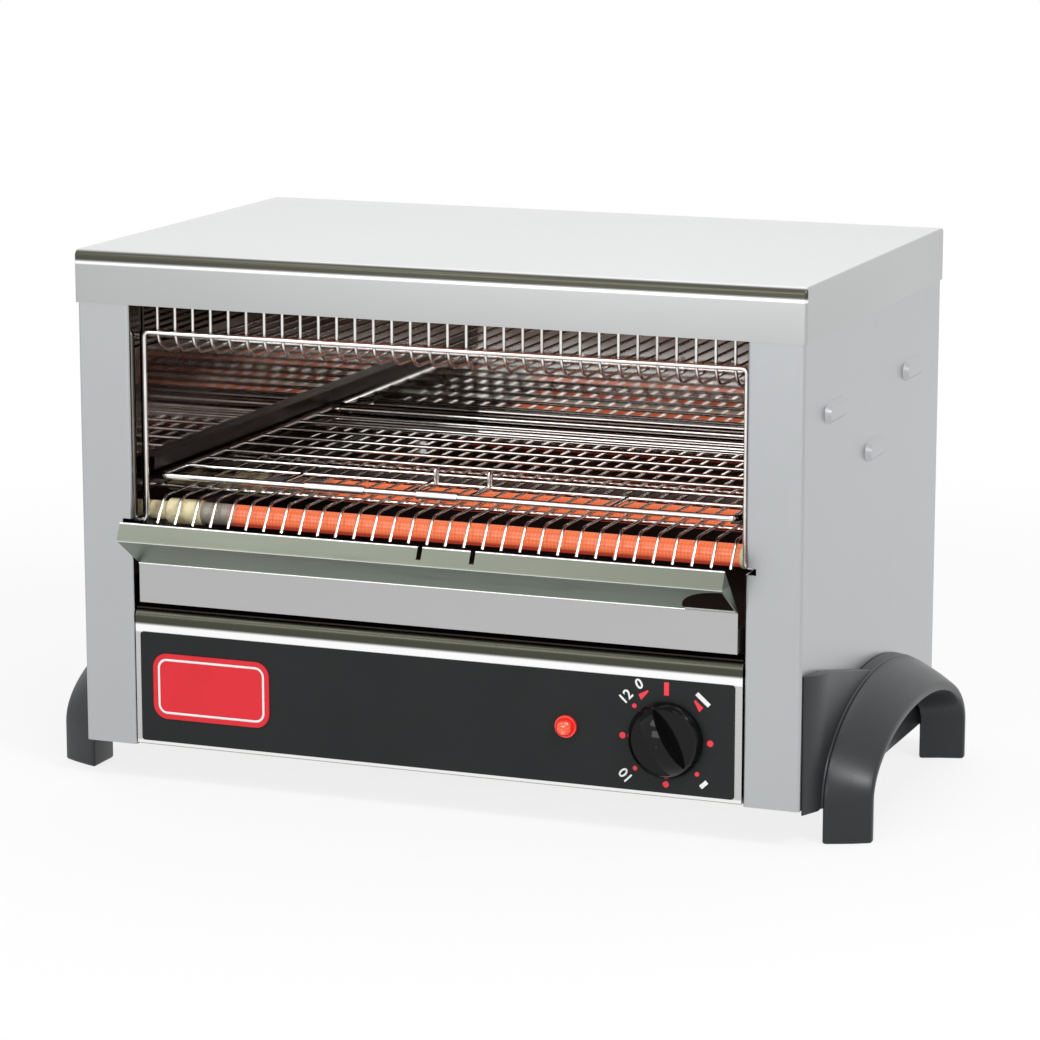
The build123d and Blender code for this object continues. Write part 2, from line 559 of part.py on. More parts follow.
# ---- crumb tray ----------------------------------------------------------------------------
def tray_profile():
    """Front section: floor, upright face, web rising forwards, lip leaning back."""
    web_out = TRAY_T * 0.9
    outer = [(0, TRAY_Z0), (0, FACE_TOP), LIP_LOW, LIP_TOP]
    inner = [(LIP_TOP[0] + web_out, LIP_TOP[1] - 0.4), (LIP_LOW[0] + 1.35, LIP_LOW[1] + 0.45)]
    inner += [(TRAY_T, FACE_TOP + 0.55), (TRAY_T, TRAY_Z0 + TRAY_T)]
    inner += [(TRAY_Y1, TRAY_Z0 + TRAY_T), (TRAY_Y1, TRAY_Z0)]
    return outer + inner


def crumb_tray():
    """Folded tray with side and rear walls, lip ends, relief cut and lip slots."""
    tray = slab_yz(tray_profile(), -TRAY_X, TRAY_X)
    top = TRAY_Z0 + TRAY_WALL
    tray += block(-TRAY_X, -TRAY_X + TRAY_T, 0.5, TRAY_Y1, TRAY_Z0, top)
    tray += block(TRAY_X - TRAY_T, TRAY_X, 0.5, TRAY_Y1, TRAY_Z0, top)
    tray += block(-TRAY_X, TRAY_X, TRAY_Y1 - TRAY_T, TRAY_Y1, TRAY_Z0, top)
    gusset = slab_yz([LIP_LOW, LIP_TOP, (0.6, FACE_TOP + 0.6), (0.6, FACE_TOP - 4), (0, FACE_TOP)], 0, TRAY_T)
    tray += Pos(TRAY_X - TRAY_T, 0, 0) * gusset
    tray += Pos(-TRAY_X, 0, 0) * gusset
    run, rise = LIP_LOW[0], LIP_LOW[1] - FACE_TOP
    slope = Plane(origin=(TRAY_X - TRAY_T, 0, FACE_TOP), x_dir=(1, 0, 0), z_dir=(0, rise, -run))
    corner = slope * Circle(RELIEF_R)
    relief = extrude(corner, amount=4, both=True)
    x0, x1 = TRAY_X - RELIEF_R - 5, TRAY_X - TRAY_T
    keep = block(x0, x1, 2 * LIP_LOW[0], -0.01, FACE_TOP + 0.6, LIP_TOP[1] + 5)
    tray -= relief & keep
    for x in NOTCH_X:
        ys = (LIP_LOW[0] - 5, LIP_TOP[0] + 4)
        tray -= block(x - NOTCH_W / 2, x + NOTCH_W / 2, *ys, LIP_TOP[1] - NOTCH_H, LIP_TOP[1] + 4)
    return tray


def tray_runners():
    """Angle strips on the liners that carry the tray edges."""
    z = TRAY_Z0 - GAP
    angle = block(LINER_X - 12, LINER_X, LINER_Y0, REAR_LOW_Y - TOUCH, SHELF_Z + T, z)
    angle -= block(LINER_X - 13, LINER_X - T, LINER_Y0 - 1, REAR_LOW_Y, SHELF_Z + 2 * T, z - T)
    return Compound(children=[angle, mirror_x(angle)])


# ---- feet ----------------------------------------------------------------------------------
def arch_loop(x, size, z0):
    """Closed outline of an arch on straight legs: outer curve, then the inner one back."""
    def half(ra, rb, order):
        curve = [(ra * math.cos(math.pi * i / FOOT_N), rb * math.sin(math.pi * i / FOOT_N)) for i in order]
        ends = [(curve[0][0], z0)] + curve + [(curve[-1][0], z0)]
        return [(x, FOOT_Y + y, z) for y, z in ends]
    steps = range(FOOT_N + 1)
    return half(size[0], size[1], steps) + half(size[2], size[3], reversed(steps))


def arch_band(x0, size0, x1, size1, z0):
    """Arched band between two planes of x; each size is outer a, b, inner a, b."""
    near, far = arch_loop(x0, size0, z0), arch_loop(x1, size1, z0)
    faces = [make_face(Polyline(*near, close=True)), make_face(Polyline(*far, close=True))]
    for i, point in enumerate(near):
        j = (i + 1) % len(near)
        faces.append(make_face(Polyline(point, near[j], far[j], close=True)))
        faces.append(make_face(Polyline(point, far[j], far[i], close=True)))
    return Solid(Shell([f.face() for f in faces]))


def resized(size, outer, inner):
    """Arch sizes with the outside taken in and the inside let out."""
    a, b, a_in, b_in = size
    return (a - outer, b - outer, a_in + inner, b_in + inner)


def right_foot():
    """Moulded foot: plate against the side panel, arched band flaring outwards, hollow behind."""
    root_size = resized(CREASE, 1, 3)
    hollow_size = resized(CREASE, 3 + 2 * FOOT_WALL, 2 * FOOT_WALL)
    hollow = arch_band(FOOT_IN - 1, hollow_size, FOOT_OUT - 17, hollow_size, FOOT_LOW)
    band = Part() + arch_band(FOOT_MID, CREASE, FOOT_OUT, RIM, -FOOT_DROP)
    root = Part() + arch_band(FOOT_IN, root_size, FOOT_MID + 4, root_size, FOOT_LOW)
    plate = slab_yz(FOOT_PLATE, FOOT_IN, FOOT_MID - 0.6)
    edge = [(FOOT_IN + PLATE_EDGE, PLATE_Y), (FOOT_MID, PLATE_Y + PLATE_TAPER)]
    edge += [(FOOT_MID, PLATE_Y - 1), (FOOT_IN + PLATE_EDGE, PLATE_Y - 1)]
    plate -= Pos(0, 0, -FOOT_DROP) * extrude(make_face(Polyline(*edge, close=True)), amount=H)
    foot = band + root + plate - hollow
    for y, z in FOOT_SCREWS:
        foot -= rod_x(FOOT_IN - 1, FOOT_IN + 5.5, y, z, FOOT_SCREW_R + FIT)
    return foot


def foot_screws():
    """Pan-head screws from inside the panels into both feet."""
    screws = []
    for y, z in FOOT_SCREWS:
        head = rod_x(W / 2 - T - 2.2, W / 2 - T, y, z, 3.8)
        screw = head + rod_x(W / 2 - T - 1, W / 2 + 5, y, z, FOOT_SCREW_R)
        screws += [screw, mirror_x(screw)]
    return Compound(children=screws)


# ---- rear ----------------------------------------------------------------------------------
def back_screw_places():
    """Screw centres (x, z) of the back panel."""
    return [(side * (W / 2 - BACK_SCREW_IN), z) for side in (-1, 1) for z in BACK_SCREW_Z]


def back_screws():
    """Pan-head screws of the back panel and of the cover's rear rim."""
    screws = []
    for x, z in back_screw_places():
        screws.append(rod_y(x, D, D + 1.8, z, 2 * BACK_SCREW_R) + rod_y(x, D - 5, D + 0.5, z, BACK_SCREW_R))
    return Compound(children=screws)


def cable_bushing():
    """Flanged bushing for the supply cable, empty."""
    ring = rod_y(GLAND_X, D, D + GLAND_OUT, GLAND_Z, GLAND_FLANGE_R)
    ring += rod_y(GLAND_X, D - 8, D + 1, GLAND_Z, GLAND_R - TOUCH)
    return ring - rod_y(GLAND_X, D - 9, D + GLAND_OUT + 1, GLAND_Z, GLAND_BORE_R)


def terminal_block():
    """Wiring block on the base behind the control box."""
    z1 = 2 * T + BLOCK_H
    block_body = block(BLOCK_X, BLOCK_X + BLOCK_W, BLOCK_Y, BLOCK_Y + BLOCK_D, 2 * T, z1)
    for i in range(4):
        x = BLOCK_X + 8 + i * (BLOCK_W / 4)
        block_body -= rod_z(x, BLOCK_Y + BLOCK_D / 2, z1 - 9, z1 + 1, 2.6)
    return block_body


def build():
    """Write every node."""
    os.makedirs("parts", exist_ok=True)
    panel = right_side_panel()
    save("right_side_panel", panel)
    save("left_side_panel", mirror_x(panel))
    save("top_cover", top_cover())
    save("back_panel", back_panel())
    save("base_plate", base_plate())
    save("control_fascia", control_fascia())
    save("control_label", control_label())
    save("badge_plate", badge_plate())
    save("pilot_lamp_lens", pilot_lamp_lens())
    save("pilot_lamp_body", pilot_lamp_body())
    save("timer_knob", timer_knob())
    save("timer_shaft", timer_shaft())
    save("timer_case", timer_case())
    save("timer_nut", timer_nut())
    save("heat_shield", heat_shield())
    liner = right_liner()
    save("right_liner", liner)
    save("left_liner", mirror_x(liner))
    save("rear_reflector", rear_reflector())
    save("ceiling_reflector", ceiling_reflector())
    for level, z in (("lower", TUBE_LOW_Z), ("upper", TUBE_UP_Z)):
        for place, y in zip(("front", "rear"), TUBE_Y):
            save(f"{level}_tube_{place}", quartz_tube(y, z))
            save(f"{level}_coil_{place}", heating_coil(y, z))
        save(f"{level}_ceramic_caps", ceramic_caps(z))
        save(f"{level}_terminal_studs", terminal_studs(z))
    save("lower_guard", lower_guard())
    save("upper_guard", upper_guard())
    save("front_frame_wire", front_frame_wire())
    save("toast_rack", toast_rack())
    save("rack_sleeves", rack_sleeves())
    rail = left_rack_rail()
    save("left_rack_rail", rail)
    save("right_rack_rail", mirror_x(rail))
    save("crumb_tray", crumb_tray())
    save("tray_runners", tray_runners())
    foot = right_foot()
    save("right_foot", foot)
    save("left_foot", mirror_x(foot))
    save("foot_screws", foot_screws())
    save("back_screws", back_screws())
    save("cable_bushing", cable_bushing())
    save("terminal_block", terminal_block())


build()
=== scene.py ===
"""Quartz bar toaster: detailed pieces, finishes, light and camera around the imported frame.

The object's frame is in metres: X runs across the front, Y goes back, Z is up from the table.
Drawing sizes of the body are in millimetres, from the front posts and the body's underside.
"""
import logging
import math
from contextlib import contextmanager
from dataclasses import dataclass
from enum import Enum
from typing import Any, Callable, Dict, Iterator, Optional, Sequence, Tuple, Union

import bmesh
import bpy
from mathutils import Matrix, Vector


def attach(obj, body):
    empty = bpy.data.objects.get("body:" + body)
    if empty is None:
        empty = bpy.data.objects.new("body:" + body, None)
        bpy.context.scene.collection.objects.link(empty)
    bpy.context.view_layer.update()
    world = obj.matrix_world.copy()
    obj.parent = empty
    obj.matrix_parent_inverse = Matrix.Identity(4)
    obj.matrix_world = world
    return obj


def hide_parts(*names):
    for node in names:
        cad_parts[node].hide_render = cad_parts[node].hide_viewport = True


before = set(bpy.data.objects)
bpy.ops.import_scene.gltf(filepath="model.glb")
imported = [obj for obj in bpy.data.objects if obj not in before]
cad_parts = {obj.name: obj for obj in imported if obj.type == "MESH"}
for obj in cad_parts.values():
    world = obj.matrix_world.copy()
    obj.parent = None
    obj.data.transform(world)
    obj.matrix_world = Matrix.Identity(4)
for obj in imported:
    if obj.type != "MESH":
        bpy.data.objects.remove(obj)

LOG = logging.getLogger("bar_toaster")
Pair = Tuple[float, float]
Triple = Tuple[float, float, float]
Colour = Triple
Piece = bpy.types.Object
Socket = bpy.types.NodeSocket
MM = 0.001
TINY = 0.0001                          # metres within which two places are the same
SEAM = 0.00001                         # metres within which a drawn piece's ends are merged
FINE = 0.000001                        # metres within which doubled vertices are merged
FADE = 0.0006                          # metres over which one finish gives way to another
FRONT_Y, BODY_Z = -128.5, 24.0         # front posts and body underside in the frame, in mm
ORIGIN = Vector((0.0, 0.0, 0.0))
RIGHT = Vector((1.0, 0.0, 0.0))
OUT = Vector((0.0, -1.0, 0.0))


class Axis(Enum):
    """The three directions of the frame."""

    X = 0
    Y = 1
    Z = 2


class Body(Enum):
    """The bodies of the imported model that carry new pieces."""

    SHELL = "body"
    RACK = "rack"
    TRAY = "tray"


def at(x: float, y: float, z: float) -> Vector:
    """Place in the frame of a point in drawing millimetres.

    Args:
        x: Across the front, from the middle.
        y: Back from the front posts.
        z: Up from the body's underside.

    Returns:
        The point in metres.
    """
    return Vector((x, y + FRONT_Y, z + BODY_Z)) * MM


# ---- shader nodes ---------------------------------------------------------------------------
class Signal:
    """A number carried by a shader socket, with the arithmetic that adds Math nodes."""

    def __init__(self, tree: "Tree", socket: Socket) -> None:
        """Keep the tree and the output socket."""
        self.tree = tree
        self.socket = socket

    def maths(self, operation: str, *values: Any) -> "Signal":
        """Add a Math node.

        Args:
            operation: The node's operation.
            values: Its inputs, numbers or signals.

        Returns:
            The node's result.
        """
        node = self.tree.node("ShaderNodeMath", {"operation": operation}, dict(enumerate(values)))
        return Signal(self.tree, node.outputs[0])

    def __add__(self, other: Any) -> "Signal":
        """Sum."""
        return self.maths("ADD", self, other)

    __radd__ = __add__

    def __sub__(self, other: Any) -> "Signal":
        """Difference."""
        return self.maths("SUBTRACT", self, other)

    def __rsub__(self, other: Any) -> "Signal":
        """Reflected difference."""
        return self.maths("SUBTRACT", other, self)

    def __mul__(self, other: Any) -> "Signal":
        """Product."""
        return self.maths("MULTIPLY", self, other)

    __rmul__ = __mul__

    def __truediv__(self, other: Any) -> "Signal":
        """Quotient."""
        return self.maths("DIVIDE", self, other)

    def __rtruediv__(self, other: Any) -> "Signal":
        """Reflected quotient."""
        return self.maths("DIVIDE", other, self)

    def __abs__(self) -> "Signal":
        """Size without sign."""
        return self.maths("ABSOLUTE", self)

    def sine(self) -> "Signal":
        """Sine of an angle in radians."""
        return self.maths("SINE", self)

    def root(self) -> "Signal":
        """Square root."""
        return self.maths("SQRT", self)

    def ramp(self, low: float, high: float, start: float = 0.0, end: float = 1.0) -> "Signal":
        """Smooth step between two levels.

        Args:
            low: Level at which the result is start.
            high: Level at which the result is end.
            start: Result at low.
            end: Result at high.

        Returns:
            The mapped signal.
        """
        values = {"Value": self, "From Min": low, "From Max": high, "To Min": start, "To Max": end}
        node = self.tree.node("ShaderNodeMapRange", {"interpolation_type": "SMOOTHSTEP"}, values)
        return Signal(self.tree, node.outputs["Result"])


class Tree:
    """Builds the node tree of one material or of the world."""

    def __init__(self, owner: Union[bpy.types.Material, bpy.types.World],
                 output: str = "ShaderNodeOutputMaterial") -> None:
        """Clear the owner's nodes and add its output.

        Args:
            owner: The material or world.
            output: Type of its output node.
        """
        owner.use_nodes = True
        self.nodes = owner.node_tree.nodes
        self.links = owner.node_tree.links
        self.nodes.clear()
        self.output = self.node(output)

    def node(self, kind: str, settings: Optional[Dict[str, Any]] = None,
             values: Optional[Dict[Any, Any]] = None) -> bpy.types.Node:
        """Add a node.

        Args:
            kind: The node's type.
            settings: Its properties, set first.
            values: A value, signal or socket for each input, by name or index.

        Returns:
            The node.
        """
        node = self.nodes.new(kind)
        for name, setting in (settings or {}).items():
            setattr(node, name, setting)
        for key, value in (values or {}).items():
            socket = node.inputs[key]
            if isinstance(value, Signal):
                self.links.new(value.socket, socket)
            elif isinstance(value, Socket):
                self.links.new(value, socket)
            elif isinstance(value, tuple) and socket.type == "RGBA":
                socket.default_value = (*value, 1.0)
            else:
                socket.default_value = value
        return node

    def place(self) -> Socket:
        """Object coordinates."""
        return self.node("ShaderNodeTexCoord").outputs["Object"]

    def axis(self, axis: Axis) -> Signal:
        """One object coordinate, in metres."""
        split = self.node("ShaderNodeSeparateXYZ", values={0: self.place()})
        return Signal(self, split.outputs[axis.value])

    def stretched(self, scale: Triple) -> Socket:
        """Object coordinates scaled by direction."""
        return self.node("ShaderNodeMapping", values={"Vector": self.place(), "Scale": scale}).outputs[0]

    def noise(self, scale: Union[float, Triple], detail: float = 3.0, roughness: float = 0.5) -> Signal:
        """Noise between 0 and 1.

        Args:
            scale: Cycles per metre, the same all ways or one for each direction.
            detail: Octaves.
            roughness: Share of the fine octaves.

        Returns:
            The noise.
        """
        ways = scale if isinstance(scale, tuple) else (scale, scale, scale)
        values = {"Vector": self.stretched(ways), "Scale": 1.0, "Detail": detail, "Roughness": roughness}
        return Signal(self, self.node("ShaderNodeTexNoise", values=values).outputs[0])

    def mix(self, factor: Any, first: Any, second: Any) -> Socket:
        """Blend of two colours, each a tuple or a socket, by a factor."""
        node = self.node("ShaderNodeMix", {"data_type": "RGBA"}, {0: factor, 6: first, 7: second})
        return node.outputs[2]

    def bump(self, height: Signal, distance: float, strength: float) -> Socket:
        """Normal of a relief given between 0 and 1, its depth in metres and how much of it shows."""
        values = {"Height": height, "Distance": distance, "Strength": strength}
        return self.node("ShaderNodeBump", values=values).outputs[0]

    def reach(self, first: Axis, second: Axis, centre: Pair) -> Signal:
        """Distance from a line along the third axis.

        Args:
            first: One of the two directions that count.
            second: The other one.
            centre: The line's place in those two directions, in metres.

        Returns:
            The distance in metres.
        """
        a = self.axis(first) - centre[0]
        b = self.axis(second) - centre[1]
        return (a * a + b * b).root()

    def show(self, shader: bpy.types.Node) -> None:
        """Link a shader to the output."""
        self.links.new(shader.outputs[0], self.output.inputs["Surface"])

    def principled(self, values: Dict[str, Any]) -> None:
        """Add the Principled shader and show it."""
        self.show(self.node("ShaderNodeBsdfPrincipled", values=values))


# ---- finishes -------------------------------------------------------------------------------
@dataclass(frozen=True)
class Finish:
    """A named finish; each kind says how its nodes are laid out."""

    name: str

    def lay(self, tree: Tree) -> None:
        """Add the finish's nodes to a tree.

        Args:
            tree: The material's tree, empty but for its output.
        """
        raise NotImplementedError

    def material(self) -> bpy.types.Material:
        """The finish's material, made once.

        Returns:
            The material.
        """
        name = f"{self.name}_finish"
        found = bpy.data.materials.get(name)
        if found is None:
            found = bpy.data.materials.new(name)
            self.lay(Tree(found))
        return found


@dataclass(frozen=True)
class BrushedSheet(Finish):
    """Satin stainless sheet with a fine straight grain and faint handling marks."""

    colour: Colour = (0.60, 0.605, 0.60)
    grain: Axis = Axis.X
    roughness: float = 0.36
    spread: float = 0.06
    relief: float = 0.35
    depth: float = 0.00002
    across: float = 2600.0
    along: float = 28.0

    def surface(self, tree: Tree) -> Dict[str, Any]:
        """Work out the shader's values.

        Args:
            tree: The material's tree, empty but for its output.

        Returns:
            A value, signal or socket for each of the shader's sockets.
        """
        ways = [self.across] * 3
        ways[self.grain.value] = self.along
        grain = tree.noise(tuple(ways), 2.0)
        cloud = tree.noise(7.0, 2.0)
        marks = tree.noise(38.0, 5.0, 0.62).ramp(0.58, 0.78)
        darker = tuple(c * 0.93 for c in self.colour)
        rough = self.roughness + (grain - 0.5) * self.spread * 2.0 + (cloud - 0.5) * 0.05 + marks * 0.03
        return {
            "Base Color": tree.mix(grain * 0.5 + cloud * 0.5, darker, self.colour),
            "Metallic": 1.0,
            "Roughness": rough,
            "Normal": tree.bump(grain, self.depth, self.relief),
        }

    def lay(self, tree: Tree) -> None:
        """Add the finish's nodes to a tree."""
        tree.principled(self.surface(tree))


@dataclass(frozen=True)
class PostSheet(BrushedSheet):
    """Panel sheet whose returns, behind the post edges, are left mirror bright."""

    edge: float = 0.1917
    front: float = FRONT_Y * MM
    polish: Colour = (0.20, 0.19, 0.18)

    def surface(self, tree: Tree) -> Dict[str, Any]:
        """Work out the shader's values.

        Args:
            tree: The material's tree, empty but for its output.

        Returns:
            A value, signal or socket for each of the shader's sockets.
        """
        values = super().surface(tree)
        within = abs(tree.axis(Axis.X)).ramp(self.edge + FADE, self.edge)
        bright = within * tree.axis(Axis.Y).ramp(self.front + FADE, self.front + 0.0016)
        values["Base Color"] = tree.mix(bright, values["Base Color"], self.polish)
        values["Roughness"] = values["Roughness"] * (1.0 - bright) + bright * 0.07
        return values


ROLL_END = FRONT_Y * MM + 0.007     # depth of the fascia's rolled edge


@dataclass(frozen=True)
class Band:
    """A stretch between two heights, ahead of a depth, with its colour; all in metres."""

    low: float
    high: float
    colour: Colour
    soft: float = 0.0005
    depth: float = FRONT_Y * MM + 0.0003


@dataclass(frozen=True)
class RolledSheet(BrushedSheet):
    """Sheet with a rolled front edge, with painted bands of highlight, shade and reflection by height."""

    bands: Tuple[Band, ...] = ()

    def surface(self, tree: Tree) -> Dict[str, Any]:
        """Work out the shader's values.

        Args:
            tree: The material's tree, empty but for its output.

        Returns:
            A value, signal or socket for each of the shader's sockets.
        """
        values = super().surface(tree)
        depth, height = tree.axis(Axis.Y), tree.axis(Axis.Z)
        # each band paints its colour over the faces ahead of its depth: painted light and shade
        for band in self.bands:
            ahead = depth.ramp(band.depth + FADE, band.depth)
            rise = height.ramp(band.low - band.soft, band.low + band.soft)
            fall = height.ramp(band.high + band.soft, band.high - band.soft)
            values["Base Color"] = tree.mix(rise * fall * ahead, values["Base Color"], band.colour)
        return values


@dataclass(frozen=True)
class MirrorSheet(Finish):
    """Polished chamber sheet with faint stains, darker and browner above one height as painted shade with a
    heat tint, black and matt below another as painted shade.
    """

    colour: Colour = (0.52, 0.50, 0.48)
    # brown heat tint, darkened as painted shade above the upper heights
    hot: Colour = (0.11, 0.085, 0.072)
    # painted shade: black and matt below the lower heights
    shade_black: Colour = (0.016, 0.012, 0.010)
    roughness: float = 0.035
    darkening_heights: Pair = (0.222, 0.248)
    shade_heights: Pair = (0.162, 0.146)

    def lay(self, tree: Tree) -> None:
        """Add the finish's nodes to a tree.

        Args:
            tree: The material's tree, empty but for its output.
        """
        stain = tree.noise(11.0, 4.0, 0.6).ramp(0.42, 0.75)
        scratch = tree.noise((60.0, 60.0, 900.0), 2.0)
        ripple = tree.noise(7.0, 1.0)
        # painted shade: darker and browner above one height, black and matt below another
        darkened_above = tree.axis(Axis.Z).ramp(*self.darkening_heights) * 0.88
        shade_below = tree.axis(Axis.Z).ramp(*self.shade_heights)
        bright = tree.mix(stain * 0.4 + darkened_above, self.colour, self.hot)
        tree.principled({
            "Base Color": tree.mix(shade_below, bright, self.shade_black),
            "Metallic": 1.0 - shade_below,
            "Roughness": self.roughness + stain * 0.03 + scratch.ramp(0.55, 0.8) * 0.02 + shade_below * 0.75,
            "Normal": tree.bump(ripple, 0.0004, 0.15),
        })


@dataclass(frozen=True)
class TraySheet(Finish):
    """Satin tray sheet: bright upright face; web greener and lip darker as painted shade and reflection;
    black and matt inside as painted shade.
    """

    colour: Colour = (0.445, 0.45, 0.445)
    # inside: painted shade, black and matt behind the front
    inside: Colour = (0.020, 0.015, 0.012)
    lip: Colour = (0.165, 0.178, 0.145)
    web: Colour = (0.385, 0.455, 0.375)
    front: float = FRONT_Y * MM
    fold: float = (BODY_Z + 131.0) * MM

    def lay(self, tree: Tree) -> None:
        """Add the finish's nodes to a tree.

        Args:
            tree: The material's tree, empty but for its output.
        """
        out = tree.axis(Axis.Y).ramp(self.front - 0.0002, self.front - 0.0012)
        above = tree.axis(Axis.Z).ramp(self.fold - 0.0008, self.fold + 0.0008)
        grain = tree.noise((26.0, 2400.0, 2400.0), 2.0)
        cloud = tree.noise(9.0, 3.0)
        smear = tree.noise((14.0, 60.0, 60.0), 4.0, 0.6).ramp(0.5, 0.8)
        # painted shade: the web and the lip take greener and darker copies of the sheet colour
        shaded_web_and_lip = tree.mix(above, self.web, self.lip)
        # painted shade: behind the front the tray turns black, matt and not metal
        back = tree.axis(Axis.Y).ramp(self.front + 0.0015, self.front + 0.0030)
        tint = tree.mix(back, tree.mix(out, self.colour, shaded_web_and_lip), self.inside)
        # random darker mottle, towards the lip's painted shade where the tray stands out
        mottle_dark = tree.mix(out, tuple(c * 0.9 for c in self.colour), tuple(c * 0.72 for c in self.lip))
        darker = tree.mix(back, mottle_dark, tuple(c * 0.4 for c in self.inside))
        tree.principled({
            "Base Color": tree.mix((grain * 0.4 + cloud * 0.4) * 0.6 + smear * out * 0.25, tint, darker),
            "Metallic": 1.0 - back,
            "Roughness": 0.34 + (grain - 0.5) * 0.10 + (cloud - 0.5) * 0.06 + smear * 0.05 + back * 0.5,
            "Normal": tree.bump(grain, 0.00002, 0.3),
        })


@dataclass(frozen=True)
class BrightWire(Finish):
    """Drawn stainless wire, straw and blue-brown in patches where it gets hot."""

    colour: Colour = (0.88, 0.87, 0.85)
    hot: Colour = (0.42, 0.33, 0.25)
    roughness: float = 0.2
    heat: float = 0.35

    def lay(self, tree: Tree) -> None:
        """Add the finish's nodes to a tree.

        Args:
            tree: The material's tree, empty but for its output.
        """
        patch = tree.noise(34.0, 3.0).ramp(0.38, 0.66) * self.heat
        grime = tree.noise(420.0, 3.0)
        tree.principled({
            "Base Color": tree.mix(patch, self.colour, self.hot),
            "Metallic": 1.0,
            "Roughness": self.roughness + patch * 0.14 + (grime - 0.5) * 0.08,
            "Normal": tree.bump(grime, 0.00004, 0.3),
        })


@dataclass(frozen=True)
class GlowingQuartz(Finish):
    """Milky quartz over a wound element, lit between two places along X and darker on its underside."""

    start: float = -0.136
    end: float = 0.182
    glow: Colour = (0.70, 0.120, 0.045)
    core: Colour = (0.88, 0.270, 0.120)
    strength: float = 0.95
    shade: Colour = (0.30, 0.030, 0.016)
    milk: Colour = (0.34, 0.31, 0.27)
    warm: Colour = (0.22, 0.04, 0.015)
    dark: Colour = (0.0, 0.0, 0.0)
    pitch: float = 0.0022
    under: float = 0.0

    def lay(self, tree: Tree) -> None:
        """Add the finish's nodes to a tree.

        Args:
            tree: The material's tree, empty but for its output.
        """
        along = tree.axis(Axis.X)
        lit = along.ramp(self.start - 0.004, self.start + 0.006)
        lit = lit * along.ramp(self.end + 0.004, self.end - 0.002)
        cycle = 2.0 * math.pi / self.pitch
        turns = (along * cycle).sine() * 0.5 + 0.5
        rows = (tree.axis(Axis.Z) * cycle).sine() * 0.5 + 0.5
        cloud = tree.noise(24.0, 3.0)
        weave = tree.mix(turns * rows * 0.8 + cloud * 0.3, self.glow, self.core)
        below = tree.axis(Axis.Z).ramp(self.under - 0.0015, self.under - 0.0045)
        hue = tree.mix(below, weave, self.shade)
        tree.principled({
            "Base Color": tree.mix(lit, self.milk, self.warm),
            "Roughness": 0.22 + cloud * 0.14,
            "IOR": 1.45,
            "Emission Color": tree.mix(lit, self.dark, hue),
            "Emission Strength": self.strength,
            "Normal": tree.bump(turns, 0.00015, 0.4),
        })


@dataclass(frozen=True)
class Ceramic(Finish):
    """Unglazed steatite, speckled and browned by heat."""

    colour: Colour = (0.84, 0.75, 0.46)
    brown: Colour = (0.42, 0.30, 0.18)

    def lay(self, tree: Tree) -> None:
        """Add the finish's nodes to a tree.

        Args:
            tree: The material's tree, empty but for its output.
        """
        speck = tree.noise(900.0, 4.0)
        burn = tree.noise(90.0, 3.0).ramp(0.45, 0.75)
        tree.principled({
            "Base Color": tree.mix(burn, self.colour, self.brown),
            "Roughness": 0.62 + speck * 0.2,
            "Normal": tree.bump(speck, 0.00012, 0.5),
        })


@dataclass(frozen=True)
class Plastic(Finish):
    """Moulded plastic with a fine texture and a faint mottle."""

    colour: Colour = (0.02, 0.02, 0.022)
    roughness: float = 0.4
    texture: float = 1400.0
    depth: float = 0.00006
    specular: float = 0.5

    def lay(self, tree: Tree) -> None:
        """Add the finish's nodes to a tree.

        Args:
            tree: The material's tree, empty but for its output.
        """
        fine = tree.noise(self.texture, 3.0)
        broad = tree.noise(26.0, 2.0)
        lighter = tuple(c * 1.35 + 0.004 for c in self.colour)
        tree.principled({
            "Base Color": tree.mix(broad * 0.6 + fine * 0.3, self.colour, lighter),
            "Roughness": self.roughness + (broad - 0.5) * 0.08 + (fine - 0.5) * 0.06,
            "Specular IOR Level": self.specular,
            "Normal": tree.bump(fine, self.depth, 0.5),
        })


@dataclass(frozen=True)
class LitLens(Finish):
    """Red lamp lens with a moulded dimple pattern, amber over the lamp inside."""

    centre: Pair = (0.0848, 0.0613)
    radius: float = 0.0056
    rim: Colour = (0.50, 0.010, 0.006)
    middle: Colour = (0.80, 0.07, 0.012)
    ember: Colour = (0.42, 0.012, 0.004)
    spark: Colour = (1.0, 0.42, 0.05)

    def lay(self, tree: Tree) -> None:
        """Add the finish's nodes to a tree.

        Args:
            tree: The material's tree, empty but for its output.
        """
        inner = (tree.reach(Axis.X, Axis.Z, self.centre) / self.radius).ramp(0.95, 0.15)
        dimples = tree.noise(620.0, 1.0)
        glints = dimples.ramp(0.50, 0.66) * inner
        tree.principled({
            "Base Color": tree.mix(inner, self.rim, self.middle),
            "Roughness": 0.10 + dimples * 0.1,
            "Coat Weight": 0.8,
            "Emission Color": tree.mix(glints, self.ember, self.spark),
            "Emission Strength": 0.95,
            "Normal": tree.bump(dimples, 0.0004, 0.6),
        })


@dataclass(frozen=True)
class PrintInk(Finish):
    """Screen-printed ink."""

    colour: Colour = (0.8, 0.8, 0.8)

    def lay(self, tree: Tree) -> None:
        """Add the finish's nodes to a tree.

        Args:
            tree: The material's tree, empty but for its output.
        """
        film = tree.noise(2500.0, 2.0)
        thinner = tuple(c * 0.85 for c in self.colour)
        tree.principled({
            "Base Color": tree.mix(film, thinner, self.colour),
            "Roughness": 0.42 + film * 0.1,
        })


